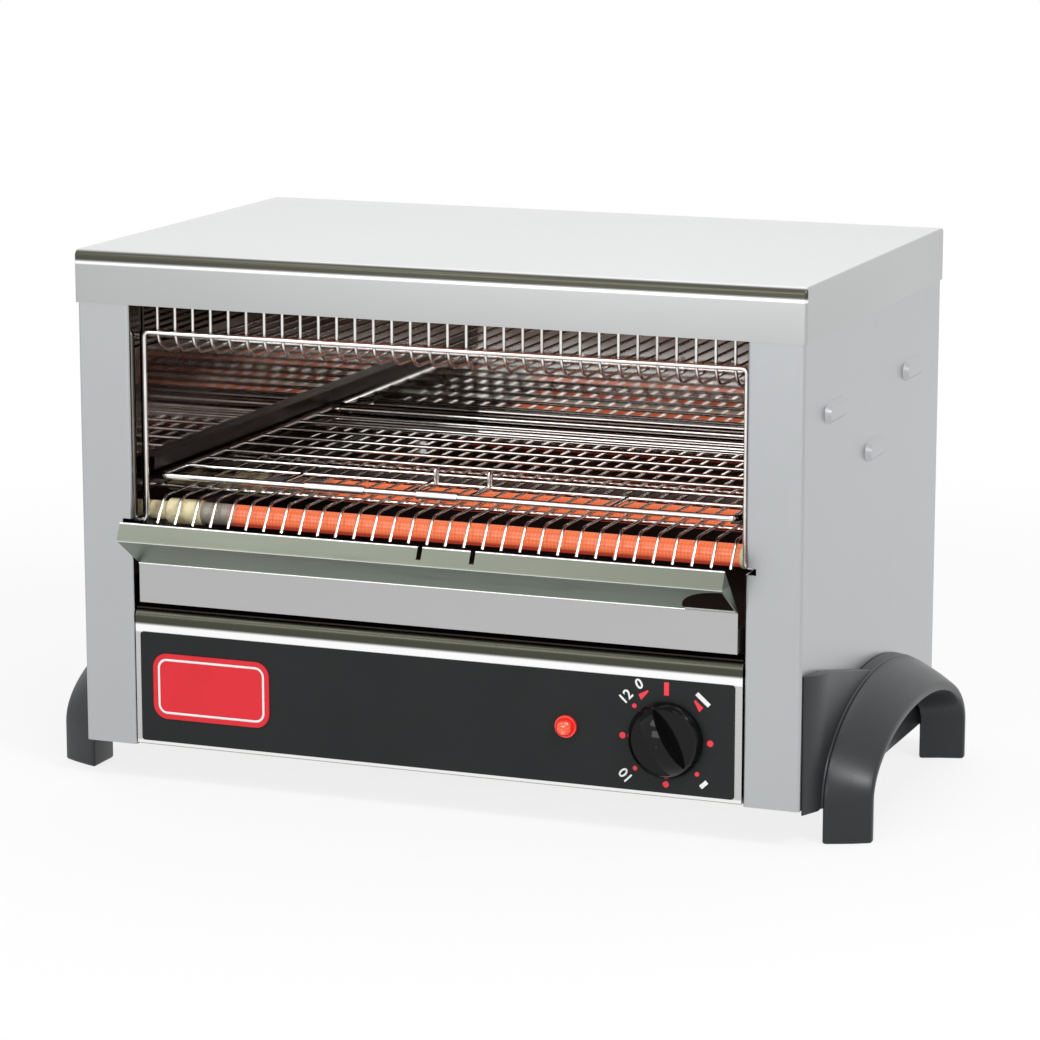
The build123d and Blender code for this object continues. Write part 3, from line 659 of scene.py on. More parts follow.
PANEL_SHEET = PostSheet("panel_sheet", colour=(0.468, 0.480, 0.492), grain=Axis.Z, roughness=0.32)
COVER_SHEET = RolledSheet("cover_sheet", colour=(0.492, 0.497, 0.497), roughness=0.34, relief=0.2, bands=(
    # rim's front darker: painted shade; thin near-white line: painted highlight
    Band(0.280, 0.3138, (0.440, 0.445, 0.445)), Band(0.3141, 0.3156, (0.95, 0.95, 0.95)),
    # dark strip under the roll: painted reflection of dark surroundings
    Band(0.3162, 0.3217, (0.075, 0.075, 0.058), 0.0008),
    # whole top face lighter: painted light from above
    Band(0.3224, 0.330, (0.63, 0.635, 0.635), 0.0001, 1.0)))
FASCIA_SHEET = RolledSheet("fascia_sheet", colour=(0.55, 0.55, 0.545), roughness=0.28, bands=(
    # lighter strip along the bottom, below the label; thin near-white band on the roll: painted highlight
    Band(0.0, 0.0275, (0.85, 0.85, 0.85)), Band(0.0940, 0.0985, (0.93, 0.93, 0.93)),
    # dark olive band over the roll: painted reflection of dark surroundings
    Band(0.0992, 0.1075, (0.065, 0.066, 0.050), 0.0007, ROLL_END)))
INNER_SHEET = BrushedSheet("inner_sheet", colour=(0.42, 0.41, 0.39), roughness=0.45)
# heat shield near black: painted shade where it shows through the tray
SHIELD_SHEET = BrushedSheet("shield_sheet", colour=(0.035, 0.028, 0.024), roughness=0.45)
RAIL_SHEET = BrushedSheet("rail_sheet", colour=(0.055, 0.042, 0.036), roughness=0.34, grain=Axis.Y)
TRAY_SHEET = TraySheet("tray_sheet")
# fold beads lighter than the tray sheet: painted highlight
BEAD_HIGHLIGHT_SHEET = BrushedSheet("bead_highlight_sheet", colour=(0.78, 0.79, 0.77), roughness=0.20)
CHAMBER_SHEET = MirrorSheet("chamber_sheet")
GUARD_WIRE = BrightWire("guard_wire")
RACK_WIRE = BrightWire("rack_wire", colour=(0.84, 0.84, 0.83), heat=0.25, roughness=0.12)
SMALL_STEEL = BrushedSheet("small_steel", colour=(0.55, 0.55, 0.53), roughness=0.3)
CERAMIC = Ceramic("ceramic")
LABEL_FILM = Plastic("label_film", colour=(0.011, 0.012, 0.0125), roughness=0.5, texture=1800.0,
                     depth=0.00003, specular=0.16)
KNOB_PLASTIC = Plastic("knob_plastic", colour=(0.0012, 0.0012, 0.0014), roughness=0.09, texture=300.0,
                       depth=0.00001, specular=0.22)
FOOT_PLASTIC = Plastic("foot_plastic", colour=(0.0065, 0.0085, 0.0105), roughness=0.36, texture=1500.0,
                       specular=0.45)
RED_PLATE = Plastic("red_plate", colour=(0.56, 0.017, 0.027), roughness=0.34, texture=900.0,
                    depth=0.00002, specular=0.25)
TERMINAL = Plastic("terminal_plastic", colour=(0.7, 0.7, 0.66), roughness=0.5)
TIMER_CASE = Plastic("timer_plastic", colour=(0.55, 0.52, 0.45), roughness=0.5)
WHITE_INK = PrintInk("white_ink", colour=(0.86, 0.86, 0.85))
RED_INK = PrintInk("red_ink", colour=(0.86, 0.035, 0.055))
LENS = LitLens("lamp_lens")
LOW_FRONT_GLOW = GlowingQuartz("quartz_low_front", under=0.164)
LOW_REAR_GLOW = GlowingQuartz("quartz_low_rear", start=-0.115, under=0.164)
UP_GLOW = GlowingQuartz("quartz_up", strength=0.8)


# ---- modelling ------------------------------------------------------------------------------
@contextmanager
def editing(piece: Piece) -> Iterator[None]:
    """Edit mode on one piece, with vertices to select.

    Args:
        piece: The piece, which object mode gets back afterwards.
    """
    bpy.context.view_layer.objects.active = piece
    bpy.ops.object.mode_set(mode="EDIT")
    bpy.ops.mesh.select_mode(type="VERT")
    try:
        yield
    finally:
        bpy.ops.object.mode_set(mode="OBJECT")


class Bench:
    """The hand tools that every sub-assembly uses."""

    @staticmethod
    def clear() -> None:
        """Deselect everything."""
        bpy.ops.object.select_all(action="DESELECT")

    @staticmethod
    def hold(piece: Piece) -> None:
        """Select one piece alone and make it the active one.

        Args:
            piece: The piece.
        """
        Bench.clear()
        piece.select_set(True)
        bpy.context.view_layer.objects.active = piece

    @staticmethod
    def settle(piece: Piece) -> None:
        """Put a piece's place, turn and size in its mesh."""
        Bench.hold(piece)
        bpy.ops.object.transform_apply(location=True, rotation=True, scale=True)

    @staticmethod
    def name(piece: Piece, name: str) -> Piece:
        """Name a piece and its mesh."""
        piece.name = piece.data.name = name
        return piece

    @staticmethod
    def added(name: str) -> Piece:
        """The primitive just added, with its place in its mesh, named."""
        Bench.settle(bpy.context.active_object)
        return Bench.name(bpy.context.active_object, name)

    @staticmethod
    def select(piece: Piece, wanted: Callable[[Vector], bool], kind: str = "VERT") -> None:
        """Select a piece's vertices, edges or faces by their middle, in edit mode.

        Args:
            piece: The piece in edit mode.
            wanted: Says whether something at a point is selected.
            kind: VERT, EDGE or FACE.
        """
        bpy.ops.mesh.select_mode(type=kind)
        bpy.ops.mesh.select_all(action="DESELECT")
        mesh = bmesh.from_edit_mesh(piece.data)
        if kind == "FACE":
            rows = [(face, face.calc_center_median()) for face in mesh.faces]
        elif kind == "EDGE":
            rows = [(edge, (edge.verts[0].co + edge.verts[1].co) / 2) for edge in mesh.edges]
        else:
            rows = [(vert, vert.co) for vert in mesh.verts]
        for item, middle in rows:
            if wanted(middle):
                item.select_set(True)
        mesh.select_flush_mode()
        bmesh.update_edit_mesh(piece.data)

    @staticmethod
    def modify(piece: Piece, kind: str, **settings: Any) -> None:
        """Add a modifier, set it and apply it.

        Args:
            piece: The piece.
            kind: The modifier's type.
            settings: Its properties.
        """
        Bench.hold(piece)
        modifier = piece.modifiers.new(kind.lower(), kind)
        for name, value in settings.items():
            setattr(modifier, name, value)
        bpy.ops.object.modifier_apply(modifier=modifier.name)

    @staticmethod
    def repeat(piece: Piece, count: int, step: Triple) -> None:
        """Repeat a piece in a straight row, so many times, a step in metres apart."""
        Bench.modify(piece, "ARRAY", count=count, use_relative_offset=False, use_constant_offset=True,
                     constant_offset_displace=step)

    @staticmethod
    def soften(piece: Piece, width: float, segments: int, degrees: float) -> None:
        """Round a piece's edges, to a width in millimetres, where they turn by more than an angle."""
        Bench.modify(piece, "BEVEL", width=width * MM, segments=segments, limit_method="ANGLE",
                     angle_limit=math.radians(degrees))

    @staticmethod
    def copy(piece: Piece, name: str, by: Vector) -> Piece:
        """Copy a piece.

        Args:
            piece: The piece.
            name: The copy's name.
            by: How far the copy is moved.

        Returns:
            The copy, with its own mesh.
        """
        twin = piece.copy()
        twin.data = piece.data.copy()
        bpy.context.scene.collection.objects.link(twin)
        Bench.hold(twin)
        bpy.ops.transform.translate(value=by)
        Bench.settle(twin)
        return Bench.name(twin, name)

    @staticmethod
    def mirrored(piece: Piece, name: str) -> Piece:
        """Copy a piece to the other side of the body.

        Args:
            piece: The piece.
            name: The copy's name.

        Returns:
            The copy, with its own mesh.
        """
        twin = Bench.copy(piece, name, ORIGIN)
        twin.scale.x = -1.0
        Bench.settle(twin)
        Bench.tidy(twin)
        return twin

    @staticmethod
    def join(pieces: Sequence[Piece], name: str) -> Piece:
        """Make one piece from several.

        Args:
            pieces: The pieces.
            name: The name of the joined one.

        Returns:
            The joined piece.
        """
        Bench.clear()
        for piece in pieces:
            piece.select_set(True)
        bpy.context.view_layer.objects.active = pieces[0]
        if len(pieces) > 1:
            bpy.ops.object.join()
        return Bench.name(bpy.context.active_object, name)

    @staticmethod
    def tidy(piece: Piece, merge: float = FINE) -> None:
        """Merge doubles and turn the faces outwards.

        Args:
            piece: The piece.
            merge: Distance within which vertices are merged, in metres.
        """
        Bench.hold(piece)
        with editing(piece):
            bpy.ops.mesh.select_all(action="SELECT")
            bpy.ops.mesh.remove_doubles(threshold=merge)
            bpy.ops.mesh.normals_make_consistent(inside=False)

    @staticmethod
    def smooth(piece: Piece, degrees: float = 35.0) -> None:
        """Smooth shading below an angle."""
        Bench.hold(piece)
        bpy.ops.object.shade_smooth_by_angle(angle=math.radians(degrees))

    @staticmethod
    def slice(piece: Piece, place: Vector, away: Vector) -> None:
        """Cut off all that lies beyond a plane.

        Args:
            piece: The piece.
            place: A point of the plane.
            away: The direction that is cut off.
        """
        Bench.hold(piece)
        with editing(piece):
            bpy.ops.mesh.select_all(action="SELECT")
            bpy.ops.mesh.bisect(plane_co=place, plane_no=away.normalized(), use_fill=True, clear_outer=True)

    @staticmethod
    def block(name: str, low: Vector, high: Vector) -> Piece:
        """A box, to shape further.

        Args:
            name: Its name.
            low: Its left, front, lower corner.
            high: Its right, rear, upper corner.

        Returns:
            The box.
        """
        Bench.clear()
        bpy.ops.mesh.primitive_cube_add(size=1.0, location=(low + high) / 2)
        bpy.context.active_object.scale = high - low
        return Bench.added(name)

    @staticmethod
    def ring(name: str, radius: float, place: Vector, along: Vector, sides: int) -> Piece:
        """An open circle, the start of wires, tubes and turned pieces.

        Args:
            name: Its name.
            radius: In metres.
            place: Its centre.
            along: The direction that it faces.
            sides: Flats round it.

        Returns:
            The circle.
        """
        Bench.clear()
        turn = along.to_track_quat("Z", "Y").to_euler()
        bpy.ops.mesh.primitive_circle_add(vertices=sides, radius=radius, location=place, rotation=turn)
        return Bench.added(name)

    @staticmethod
    def draw(by: Vector) -> None:
        """Extrude what is selected, in edit mode."""
        bpy.ops.mesh.extrude_region_move(TRANSFORM_OT_translate={"value": by})

    @staticmethod
    def fill() -> None:
        """Close every open loop, in edit mode."""
        bpy.ops.mesh.select_all(action="SELECT")
        bpy.ops.mesh.fill_holes(sides=0)

    @staticmethod
    def turned(name: str, profile: Sequence[Pair], place: Vector, along: Vector,
               sides: int = 48, closed: bool = True) -> Piece:
        """A turned piece, drawn ring by ring.

        Args:
            name: Its name.
            profile: (distance along, radius) of each ring, in metres.
            place: The axis at distance 0.
            along: The axis' direction.
            sides: Flats round it.
            closed: Whether both ends are filled.

        Returns:
            The piece.
        """
        way = along.normalized()
        piece = Bench.ring(name, profile[0][1], place + way * profile[0][0], way, sides)
        with editing(piece):
            bpy.ops.mesh.select_all(action="SELECT")
            for (d0, r0), (d1, r1) in zip(profile, profile[1:]):
                Bench.draw(way * (d1 - d0))
                centre = place + way * d1
                bpy.ops.transform.resize(value=(r1 / r0,) * 3, center_override=centre)
            if closed:
                Bench.fill()
        Bench.tidy(piece)
        return piece

    @staticmethod
    def wire(name: str, points: Sequence[Vector], radius: float, bend: float, sides: int = 10,
             steps: int = 6, closed: bool = True) -> Piece:
        """A round wire, run straight and bent round each corner.

        Args:
            name: Its name.
            points: Its ends and corners.
            radius: Of the wire.
            bend: Radius of the centre line at the corners.
            sides: Flats round it.
            steps: Rings in each bend.
            closed: Whether its ends are filled.

        Returns:
            The wire.
        """
        ways = [(b - a).normalized() for a, b in zip(points, points[1:])]
        piece = Bench.ring(name, radius, points[0], ways[0], sides)
        place = points[0]
        with editing(piece):
            bpy.ops.mesh.select_all(action="SELECT")
            for i, way in enumerate(ways):
                stop = points[i + 1]
                if i + 1 < len(ways):
                    turn = way.angle(ways[i + 1])
                    stop = stop - way * bend * math.tan(turn / 2)
                Bench.draw(stop - place)
                if i + 1 < len(ways):
                    across = way.cross(ways[i + 1]).normalized()
                    centre = stop + across.cross(way) * bend
                    bpy.ops.mesh.spin(steps=steps, angle=-turn, center=centre, axis=across)
                    stop = points[i + 1] + ways[i + 1] * bend * math.tan(turn / 2)
                place = stop
            if closed:
                Bench.fill()
        Bench.tidy(piece)
        return piece


def seat(piece: Piece, finish: Finish, body: Body, nodes: Sequence[str] = ()) -> None:
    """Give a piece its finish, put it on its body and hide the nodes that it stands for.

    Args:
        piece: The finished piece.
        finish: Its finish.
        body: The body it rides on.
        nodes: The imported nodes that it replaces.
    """
    piece.data.materials.clear()
    piece.data.materials.append(finish.material())
    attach(piece, body.value)
    if nodes:
        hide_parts(*nodes)
    LOG.info("%s: %d faces on %s", piece.name, len(piece.data.polygons), body.value)


def finish_nodes(finish: Finish, *names: str) -> None:
    """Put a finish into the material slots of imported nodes.

    Args:
        finish: The finish.
        names: The nodes.
    """
    for name in names:
        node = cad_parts[name]
        for slot in node.material_slots:
            slot.material = finish.material()
        LOG.info("%s: %s", name, finish.name)


# ---- sub-assemblies -------------------------------------------------------------------------
@dataclass
class Shell:
    """Folded sheet body: cover, side panels, back, base and the small hardware on them."""

    half: float = 225.9
    front: float = -1.5
    rear: float = 281.8
    rim: float = 267.0
    top: float = 298.5
    sheet: float = 0.9
    roll: float = 4.0
    roll_steps: int = 10
    bend: float = 1.6
    bend_steps: int = 4

    def build(self) -> None:
        """Build the cover and dress the shell's nodes."""
        self.cover()
        finish_nodes(PANEL_SHEET, "left_side_panel", "right_side_panel")
        finish_nodes(INNER_SHEET, "base_plate", "back_panel")
        finish_nodes(SHIELD_SHEET, "heat_shield")
        finish_nodes(SMALL_STEEL, "foot_screws", "back_screws", "timer_nut", "timer_shaft")
        finish_nodes(FOOT_PLASTIC, "cable_bushing")
        finish_nodes(TERMINAL, "terminal_block")
        finish_nodes(TIMER_CASE, "timer_case")
        finish_nodes(SMALL_STEEL, "pilot_lamp_body")

    def cover(self) -> None:
        """Lid with a down-turned rim, rolled over along its front edge."""
        low, high = at(-self.half, self.front, self.rim), at(self.half, self.rear, self.top)
        cover = Bench.block("cover_sheet", low, high)
        with editing(cover):
            Bench.select(cover, lambda v: v.z < low.z + TINY, "FACE")
            bpy.ops.mesh.delete(type="ONLY_FACE")
            Bench.select(cover, lambda v: v.z > high.z - TINY and v.y < low.y + TINY, "EDGE")
            bpy.ops.mesh.bevel(offset=self.roll * MM, segments=self.roll_steps, affect="EDGES")
            Bench.select(cover, lambda v: v.z > low.z + TINY and (
                abs(v.x) > high.x - TINY or min(v.z - high.z, v.y - high.y) > -TINY), "EDGE")
            bpy.ops.mesh.bevel(offset=self.bend * MM, segments=self.bend_steps, affect="EDGES")
        Bench.modify(cover, "SOLIDIFY", thickness=self.sheet * MM, offset=-1.0, use_even_offset=True)
        Bench.tidy(cover)
        Bench.smooth(cover, 30.0)
        seat(cover, COVER_SHEET, Body.SHELL, ["top_cover"])


@dataclass
class Chamber:
    """Mirror sheets, quartz tubes and ceramics round the toasting space."""

    tube_radius: float = 6.5
    tube_wall: float = 1.0
    tube_ends: Pair = (-176.0, 186.0)
    tube_low: float = 140.0
    tube_up: float = 272.0
    tube_front: float = 25.0
    tube_rear: float = 118.0
    cap_ends: Pair = (-179.0, -156.0)
    cap_radius: float = 7.5
    cap_edge: float = 1.0
    neck_radius: float = 5.5
    collar_start: float = 182.0
    mouth: Pair = (0.6, 0.5)
    liner: float = 189.9

    def build(self) -> None:
        """Build and dress the chamber."""
        finish_nodes(CHAMBER_SHEET, "left_liner", "right_liner", "rear_reflector", "ceiling_reflector")
        finish_nodes(RAIL_SHEET, "left_rack_rail", "right_rack_rail", "tray_runners")
        finish_nodes(SMALL_STEEL, "lower_terminal_studs", "upper_terminal_studs")
        self.tubes()
        self.ceramics("lower", self.tube_low)
        self.ceramics("upper", self.tube_up)

    def tubes(self) -> None:
        """Four quartz tubes, modelled once."""
        ends = [at(x, self.tube_front, self.tube_low) for x in self.tube_ends]
        reach = ends[1] - ends[0]
        outer, inner = self.tube_radius * MM, (self.tube_radius - self.tube_wall) * MM
        profile = [(0.0, inner), (0.0, outer), (reach.length, outer), (reach.length, inner), (0.0, inner)]
        first = Bench.turned("lower_quartz_front", profile, ends[0], reach, 40, closed=False)
        Bench.smooth(first)
        rows = (
            ("lower", "front", self.tube_front, self.tube_low, LOW_FRONT_GLOW),
            ("lower", "rear", self.tube_rear, self.tube_low, LOW_REAR_GLOW),
            ("upper", "front", self.tube_front, self.tube_up, UP_GLOW),
            ("upper", "rear", self.tube_rear, self.tube_up, UP_GLOW),
        )
        for level, place, y, z, glow in rows:
            by = at(0.0, y, z) - at(0.0, self.tube_front, self.tube_low)
            tube = Bench.copy(first, f"{level}_quartz_{place}", by) if by.length > 0 else first
            seat(tube, glow, Body.SHELL, [f"{level}_tube_{place}", f"{level}_coil_{place}"])

    def ceramics(self, level: str, z: float) -> None:
        """The two long caps and two short collars of one level.

        Args:
            level: lower or upper.
            z: Height of the level.
        """
        (x0, x1), start, neck = self.cap_ends, self.collar_start, self.neck_radius
        tube, outer, edge, (run, drop) = self.tube_radius, self.cap_radius, self.cap_edge, self.mouth
        cap = ((-self.liner, neck), (x0, neck), (x0, outer - edge), (x0 + edge, outer),
               (x1 - run, outer), (x1, outer - drop), (x1, tube))
        collar = ((start, tube), (start, outer - drop), (start + run, outer), (self.liner, outer))
        pieces = []
        for y in (self.tube_front, self.tube_rear):
            for steps in (cap, collar):
                profile = [(d * MM, radius * MM) for d, radius in steps]
                pieces.append(Bench.turned("cap", profile, at(0.0, y, z), RIGHT, 32))
        caps = Bench.join(pieces, f"{level}_end_caps")
        Bench.smooth(caps)
        seat(caps, CERAMIC, Body.SHELL, [f"{level}_ceramic_caps"])


@dataclass(frozen=True)
class Grille:
    """One guard's own sizes.

    Attributes:
        level: lower or upper.
        run: (y, z) of the wires' front tip, corner and rear end.
        bend: Radius of the corner.
        rods: Places of the cross rods.
        side: 1 where the rods are on top of the wires, -1 where they are below.
    """

    level: str
    run: Tuple[Pair, ...]
    bend: float
    rods: Pair
    side: int


@dataclass
class WireGuards:
    """Guard grilles over the tubes and the wire round the window."""

    grilles: Tuple[Grille, ...] = (
        Grille("lower", ((9.5, 134.7), (19.5, 149.5), (220.5, 149.5)), 8.0, (62.0, 165.0), -1),
        Grille("upper", ((14.6, 272.0), (14.6, 237.0), (273.5, 237.0)), 14.0, (62.0, 219.0), 1))
    count: int = 32
    pitch: float = 11.6
    radius: float = 1.0
    rod: float = 1.4
    sink: float = 0.15
    liner: float = 189.9
    window_depth: float = 12.0
    window_half: float = 187.5
    window_hook: Pair = (196.5, 136.2)
    window_top: float = 249.4
    window_radius: float = 1.5
    window_bend: float = 3.0

    def build(self) -> None:
        """Build both guards and the window wire."""
        for grille in self.grilles:
            self.guard(grille)
        self.window_wire()

    def guard(self, grille: Grille) -> None:
        """Build parallel bent wires on two cross rods.

        Args:
            grille: The guard's own sizes.
        """
        name = f"{grille.level}_guard_wires"
        x = -(self.count - 1) / 2 * self.pitch
        points = [at(x, y, z) for y, z in grille.run]
        wires = Bench.wire(name, points, self.radius * MM, grille.bend * MM, 8, 6)
        Bench.repeat(wires, self.count, (self.pitch * MM, 0.0, 0.0))
        z = grille.run[-1][1] + grille.side * (self.radius + self.rod - self.sink)
        pieces = [wires]
        for y in grille.rods:
            ends = [at(-self.liner, y, z), at(self.liner, y, z)]
            pieces.append(Bench.wire("rod", ends, self.rod * MM, 0.0, 10))
        wires = Bench.join(pieces, name)
        Bench.smooth(wires, 50.0)
        seat(wires, GUARD_WIRE, Body.SHELL, [f"{grille.level}_guard"])

    def window_wire(self) -> None:
        """Wire round the window, hooked into the posts."""
        (end, hook), half, top = self.window_hook, self.window_half, self.window_top
        places = ((-end, hook), (-half, hook), (-half, top), (half, top), (half, hook), (end, hook))
        points = [at(x, self.window_depth, z) for x, z in places]
        wire = Bench.wire("window_wire", points, self.window_radius * MM, self.window_bend * MM, 10, 6)
        Bench.smooth(wire, 50.0)
        seat(wire, GUARD_WIRE, Body.SHELL, ["front_frame_wire"])


@dataclass
class ToastRack:
    """Sliding wire rack with its sleeves and handle eyes."""

    height: float = 162.6
    half: float = 181.0
    front: float = 17.0
    rear: float = 269.0
    second: float = 52.0
    rows: int = 8
    frame_radius: float = 2.0
    frame_bend: float = 6.0
    wire_radius: float = 1.3
    links: Tuple[float, ...] = (-103.0, -21.0, 16.0, 103.0)
    eyes: Tuple[float, ...] = (-17.0, 17.0)
    eye_tall: float = 9.5
    eye_half: float = 2.0
    eye_radius: float = 1.0
    eye_bend: float = 1.9
    sleeves: Tuple[Pair, ...] = ((-86.0, -48.0), (-15.0, 11.0))
    sleeve_bore: float = 2.2
    sleeve_end: float = 2.7
    sleeve_radius: float = 3.0
    sleeve_edge: float = 0.4

    def build(self) -> None:
        """Build the rack."""
        pieces = [self.frame_loop(), self.cross_wires()]
        for x in self.links:
            ends = [at(x, self.front, self.height), at(x, self.second, self.height)]
            pieces.append(Bench.wire("link", ends, self.wire_radius * MM, 0.0))
        pieces += [self.eye(x) for x in self.eyes]
        rack = Bench.join(pieces, "wire_rack")
        Bench.smooth(rack, 50.0)
        seat(rack, RACK_WIRE, Body.RACK, ["toast_rack"])
        self.tubes()

    def frame_loop(self) -> Piece:
        """Bend half of the outer loop and mirror it.

        Returns:
            The loop.
        """
        places = [(0.0, self.front), (self.half, self.front), (self.half, self.rear), (0.0, self.rear)]
        points = [at(x, y, self.height) for x, y in places]
        loop = Bench.wire("loop", points, self.frame_radius * MM, self.frame_bend * MM, 12, 8, closed=False)
        Bench.modify(loop, "MIRROR", use_mirror_merge=True, merge_threshold=SEAM)
        Bench.tidy(loop)
        return loop

    def cross_wires(self) -> Piece:
        """Lay the parallel wires across the loop.

        Returns:
            The wires.
        """
        ends = [at(x, self.second, self.height) for x in (-self.half, self.half)]
        wires = Bench.wire("rows", ends, self.wire_radius * MM, 0.0)
        step = (self.rear - self.second) / self.rows * MM
        Bench.repeat(wires, self.rows, (0.0, step, 0.0))
        return wires

    def eye(self, x: float) -> Piece:
        """Bend an upright eye for the lifting handle.

        Args:
            x: Its place across the rack.

        Returns:
            The eye.
        """
        low, top = self.height, self.height + self.eye_tall
        front, back = self.second - self.eye_half, self.second + self.eye_half
        points = [at(x, y, z) for y, z in ((front, low), (front, top), (back, top), (back, low))]
        return Bench.wire("eye", points, self.eye_radius * MM, self.eye_bend * MM, 10, 6)

    def tubes(self) -> None:
        """Sleeves on the front bar."""
        bore, end, outer = self.sleeve_bore, self.sleeve_end, self.sleeve_radius
        sleeves = []
        for x0, x1 in self.sleeves:
            length, edge = x1 - x0, self.sleeve_edge
            steps = ((0.0, bore), (0.0, end), (edge, outer), (length - edge, outer), (length, end),
                     (length, bore), (0.0, bore))
            profile = [(d * MM, radius * MM) for d, radius in steps]
            place = at(x0, self.front, self.height)
            sleeves.append(Bench.turned("sleeve", profile, place, RIGHT, 28, closed=False))
        tubes = Bench.join(sleeves, "bar_sleeves")
        Bench.smooth(tubes)
        seat(tubes, RACK_WIRE, Body.RACK, ["rack_sleeves"])


@dataclass
class CrumbTray:
    """Sliding tray with its face, web and lip, and the beads along its folds, lighter than the sheet as a
    painted highlight.
    """

    half: float = 187.5
    lip: Pair = (-23.8, 140.6)
    fold: Pair = (-28.2, 131.0)
    root: Pair = (-0.1, 112.2)
    relief: float = 31.0
    bead: float = 0.7
    notches: Tuple[float, ...] = (4.3, 37.0)
    notch: float = 3.0

    def build(self) -> None:
        """Dress the tray and add its beads."""
        finish_nodes(TRAY_SHEET, "crumb_tray")
        stops = [-self.half]
        for x in self.notches:
            stops += [x - self.notch / 2, x + self.notch / 2]
        stops.append(self.half)
        runs = [(x0, x1, self.lip) for x0, x1 in zip(stops[::2], stops[1::2])]
        runs += [(-self.half, self.half, self.fold), (-self.half, self.half - self.relief, self.root)]
        beads = Bench.join([self.run(*run) for run in runs], "tray_beads")
        Bench.smooth(beads, 60.0)
        seat(beads, BEAD_HIGHLIGHT_SHEET, Body.TRAY)

    def run(self, x0: float, x1: float, place: Pair) -> Piece:
        """Lay one straight bead.

        Args:
            x0: Where it starts.
            x1: Where it ends.
            place: Its (y, z).

        Returns:
            The bead.
        """
        return Bench.wire("bead", [at(x0, *place), at(x1, *place)], self.bead * MM, 0.0, 8)


